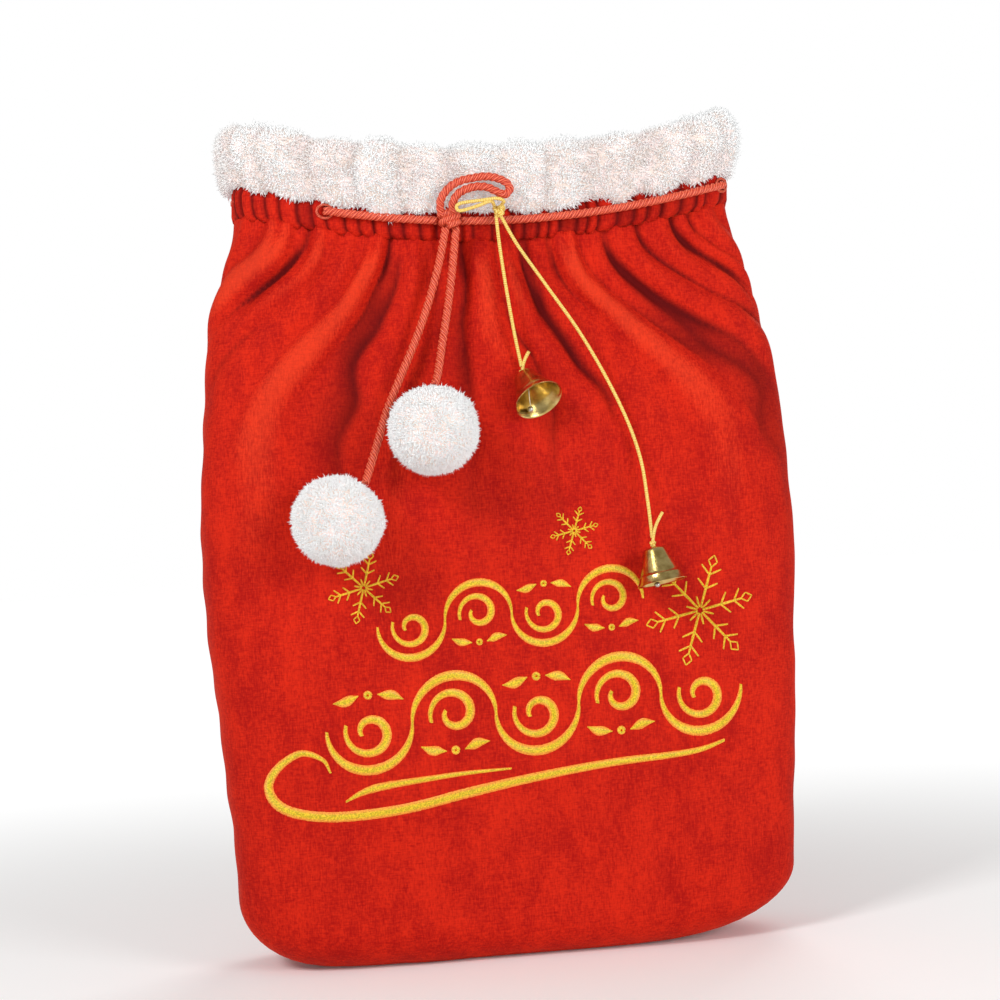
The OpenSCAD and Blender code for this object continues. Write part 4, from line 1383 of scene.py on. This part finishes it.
# %% Scrollwork
def curl(centre, first, last, start, turned, count=15):
    return [polar(centre, first + (last - first) * t, start + turned * t)
            for t in np.linspace(0, 1, count)]


def swelling(count, low, high):
    return [low + (high - low) * math.sin(math.pi * t) for t in np.linspace(0, 1, count)]


def running_scroll(first, r, count, bare):
    """A stem of half circles, and for each a curl inside and, but for the bare one, leaves."""
    def on_row(dx, dz):
        return [first[0] + dx, first[1] + ROW_RISE * dx + dz]

    def leaf(stroke, dx, dz, angle):
        root = on_row(dx, dz)
        tip, middle = polar(root, 0.62 * r, angle), polar(root, 0.3 * r, angle + 8)
        stroke([root, middle, tip], [1.0, 0.26 * r, 0.8])

    def strokes(stroke):
        ways = [-1 if k % 2 == 0 else 1 for k in range(count)]
        turn = np.linspace(math.pi, 0, 22)
        stem = [on_row(2 * r * k + r * math.cos(a), way * r * math.sin(a))
                for k, way in enumerate(ways) for a in turn[min(k, 1):]]
        stroke(stem, [r * (0.08 + 0.18 * math.sin(a))
                      for k in range(count) for a in turn[min(k, 1):]])
        for k, way in enumerate(ways):
            middle, low = 2 * r * k, -0.76 * way * r
            stroke(curl(on_row(middle, 0.12 * way * r), 0.58 * r, 0.2 * r, 200 * way, -400 * way,
                        24), swelling(24, 0.1 * r, 0.24 * r))
            if k == bare:
                continue
            berry = on_row(middle, low)
            around = [polar(berry, 0.055 * r, a) for a in range(0, 361, 30)]
            stroke(around, [0.11 * r] * len(around))
            leaf(stroke, middle + 0.22 * r, low, 14 * way)
            leaf(stroke, middle - 0.22 * r, low, 180 - 14 * way)
    return strokes


ROW_RISE = 0.05
scroll_upper = stitched("scroll_upper_stitched", running_scroll([-86, 282], 27.5, 4, 0),
                        "scroll_upper")
scroll_lower = stitched("scroll_lower_stitched", running_scroll([-124, 200], 34.5, 5, 4),
                        "scroll_lower")

# %% Underline
swash_route = [
    [-157, 165], [-163, 176], [-180, 182], [-198, 172], [-207, 157], [-201, 142], [-183, 133],
    [-151, 129], [-103, 132], [-45, 142], [13, 151], [72, 158], [124, 161], [150, 164], [170, 170]]
swash_width = [2, 4, 6, 7, 8, 9, 9, 9, 9, 9, 8, 7, 6, 5, 3]
short_route = [
    [-146, 141], [-134, 147], [-120, 151], [-98, 154], [-75, 156], [-45, 158], [-10, 159]]
short_width = [2, 5, 7, 6, 5, 4, 2]


def underline(stroke):
    stroke(swash_route, swash_width)
    stroke(short_route, short_width)


swash = stitched("underline_stitched", underline, "underline_swash")

# %% [markdown]
# ## What stays hidden
# Inside the casing the drawstring goes once round the neck. The sewn edges, the sheet behind
# the embroidery and the knots inside the pompoms keep their working shapes and only get a
# finish of their own.

# %% Drawstring inside the casing
INSIDE_D = 5.4 * MM
turn_share = np.linspace(0, 1, 61)
inside_front = skin(turn_share, [CORD_Z], [1.2 * MM], -1)[0]
inside_back = skin(turn_share, [CORD_Z], [1.2 * MM], 1)[0]
from_left = inside_front[inside_front[:, 0] < -137 * MM]
to_right = inside_front[inside_front[:, 0] > 203 * MM][::-1]
inside_line, _ = smooth_line(
    np.vstack([from_left, inside_back[::-1][1:-1], to_right[::-1][:1], to_right]), 2.4 * MM)
inside = strands_piece(
    "drawstring_in_casing", twisted_lines(inside_line, INSIDE_D, 16 * MM), 0.265 * INSIDE_D, 6,
    cord_red)
dress(inside, "root", "twisted_cord", "drawstring_inside")

# %% Finishes of the working pieces that stay
kept = {
    "side_seam_left": overlock, "side_seam_right": overlock, "bottom_seam": overlock,
    "embroidery_backing": stabiliser, "pompom_core_left": cord_red, "pompom_core_right": cord_red}
for name, finish in kept.items():
    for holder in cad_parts[name].material_slots:
        holder.material = finish
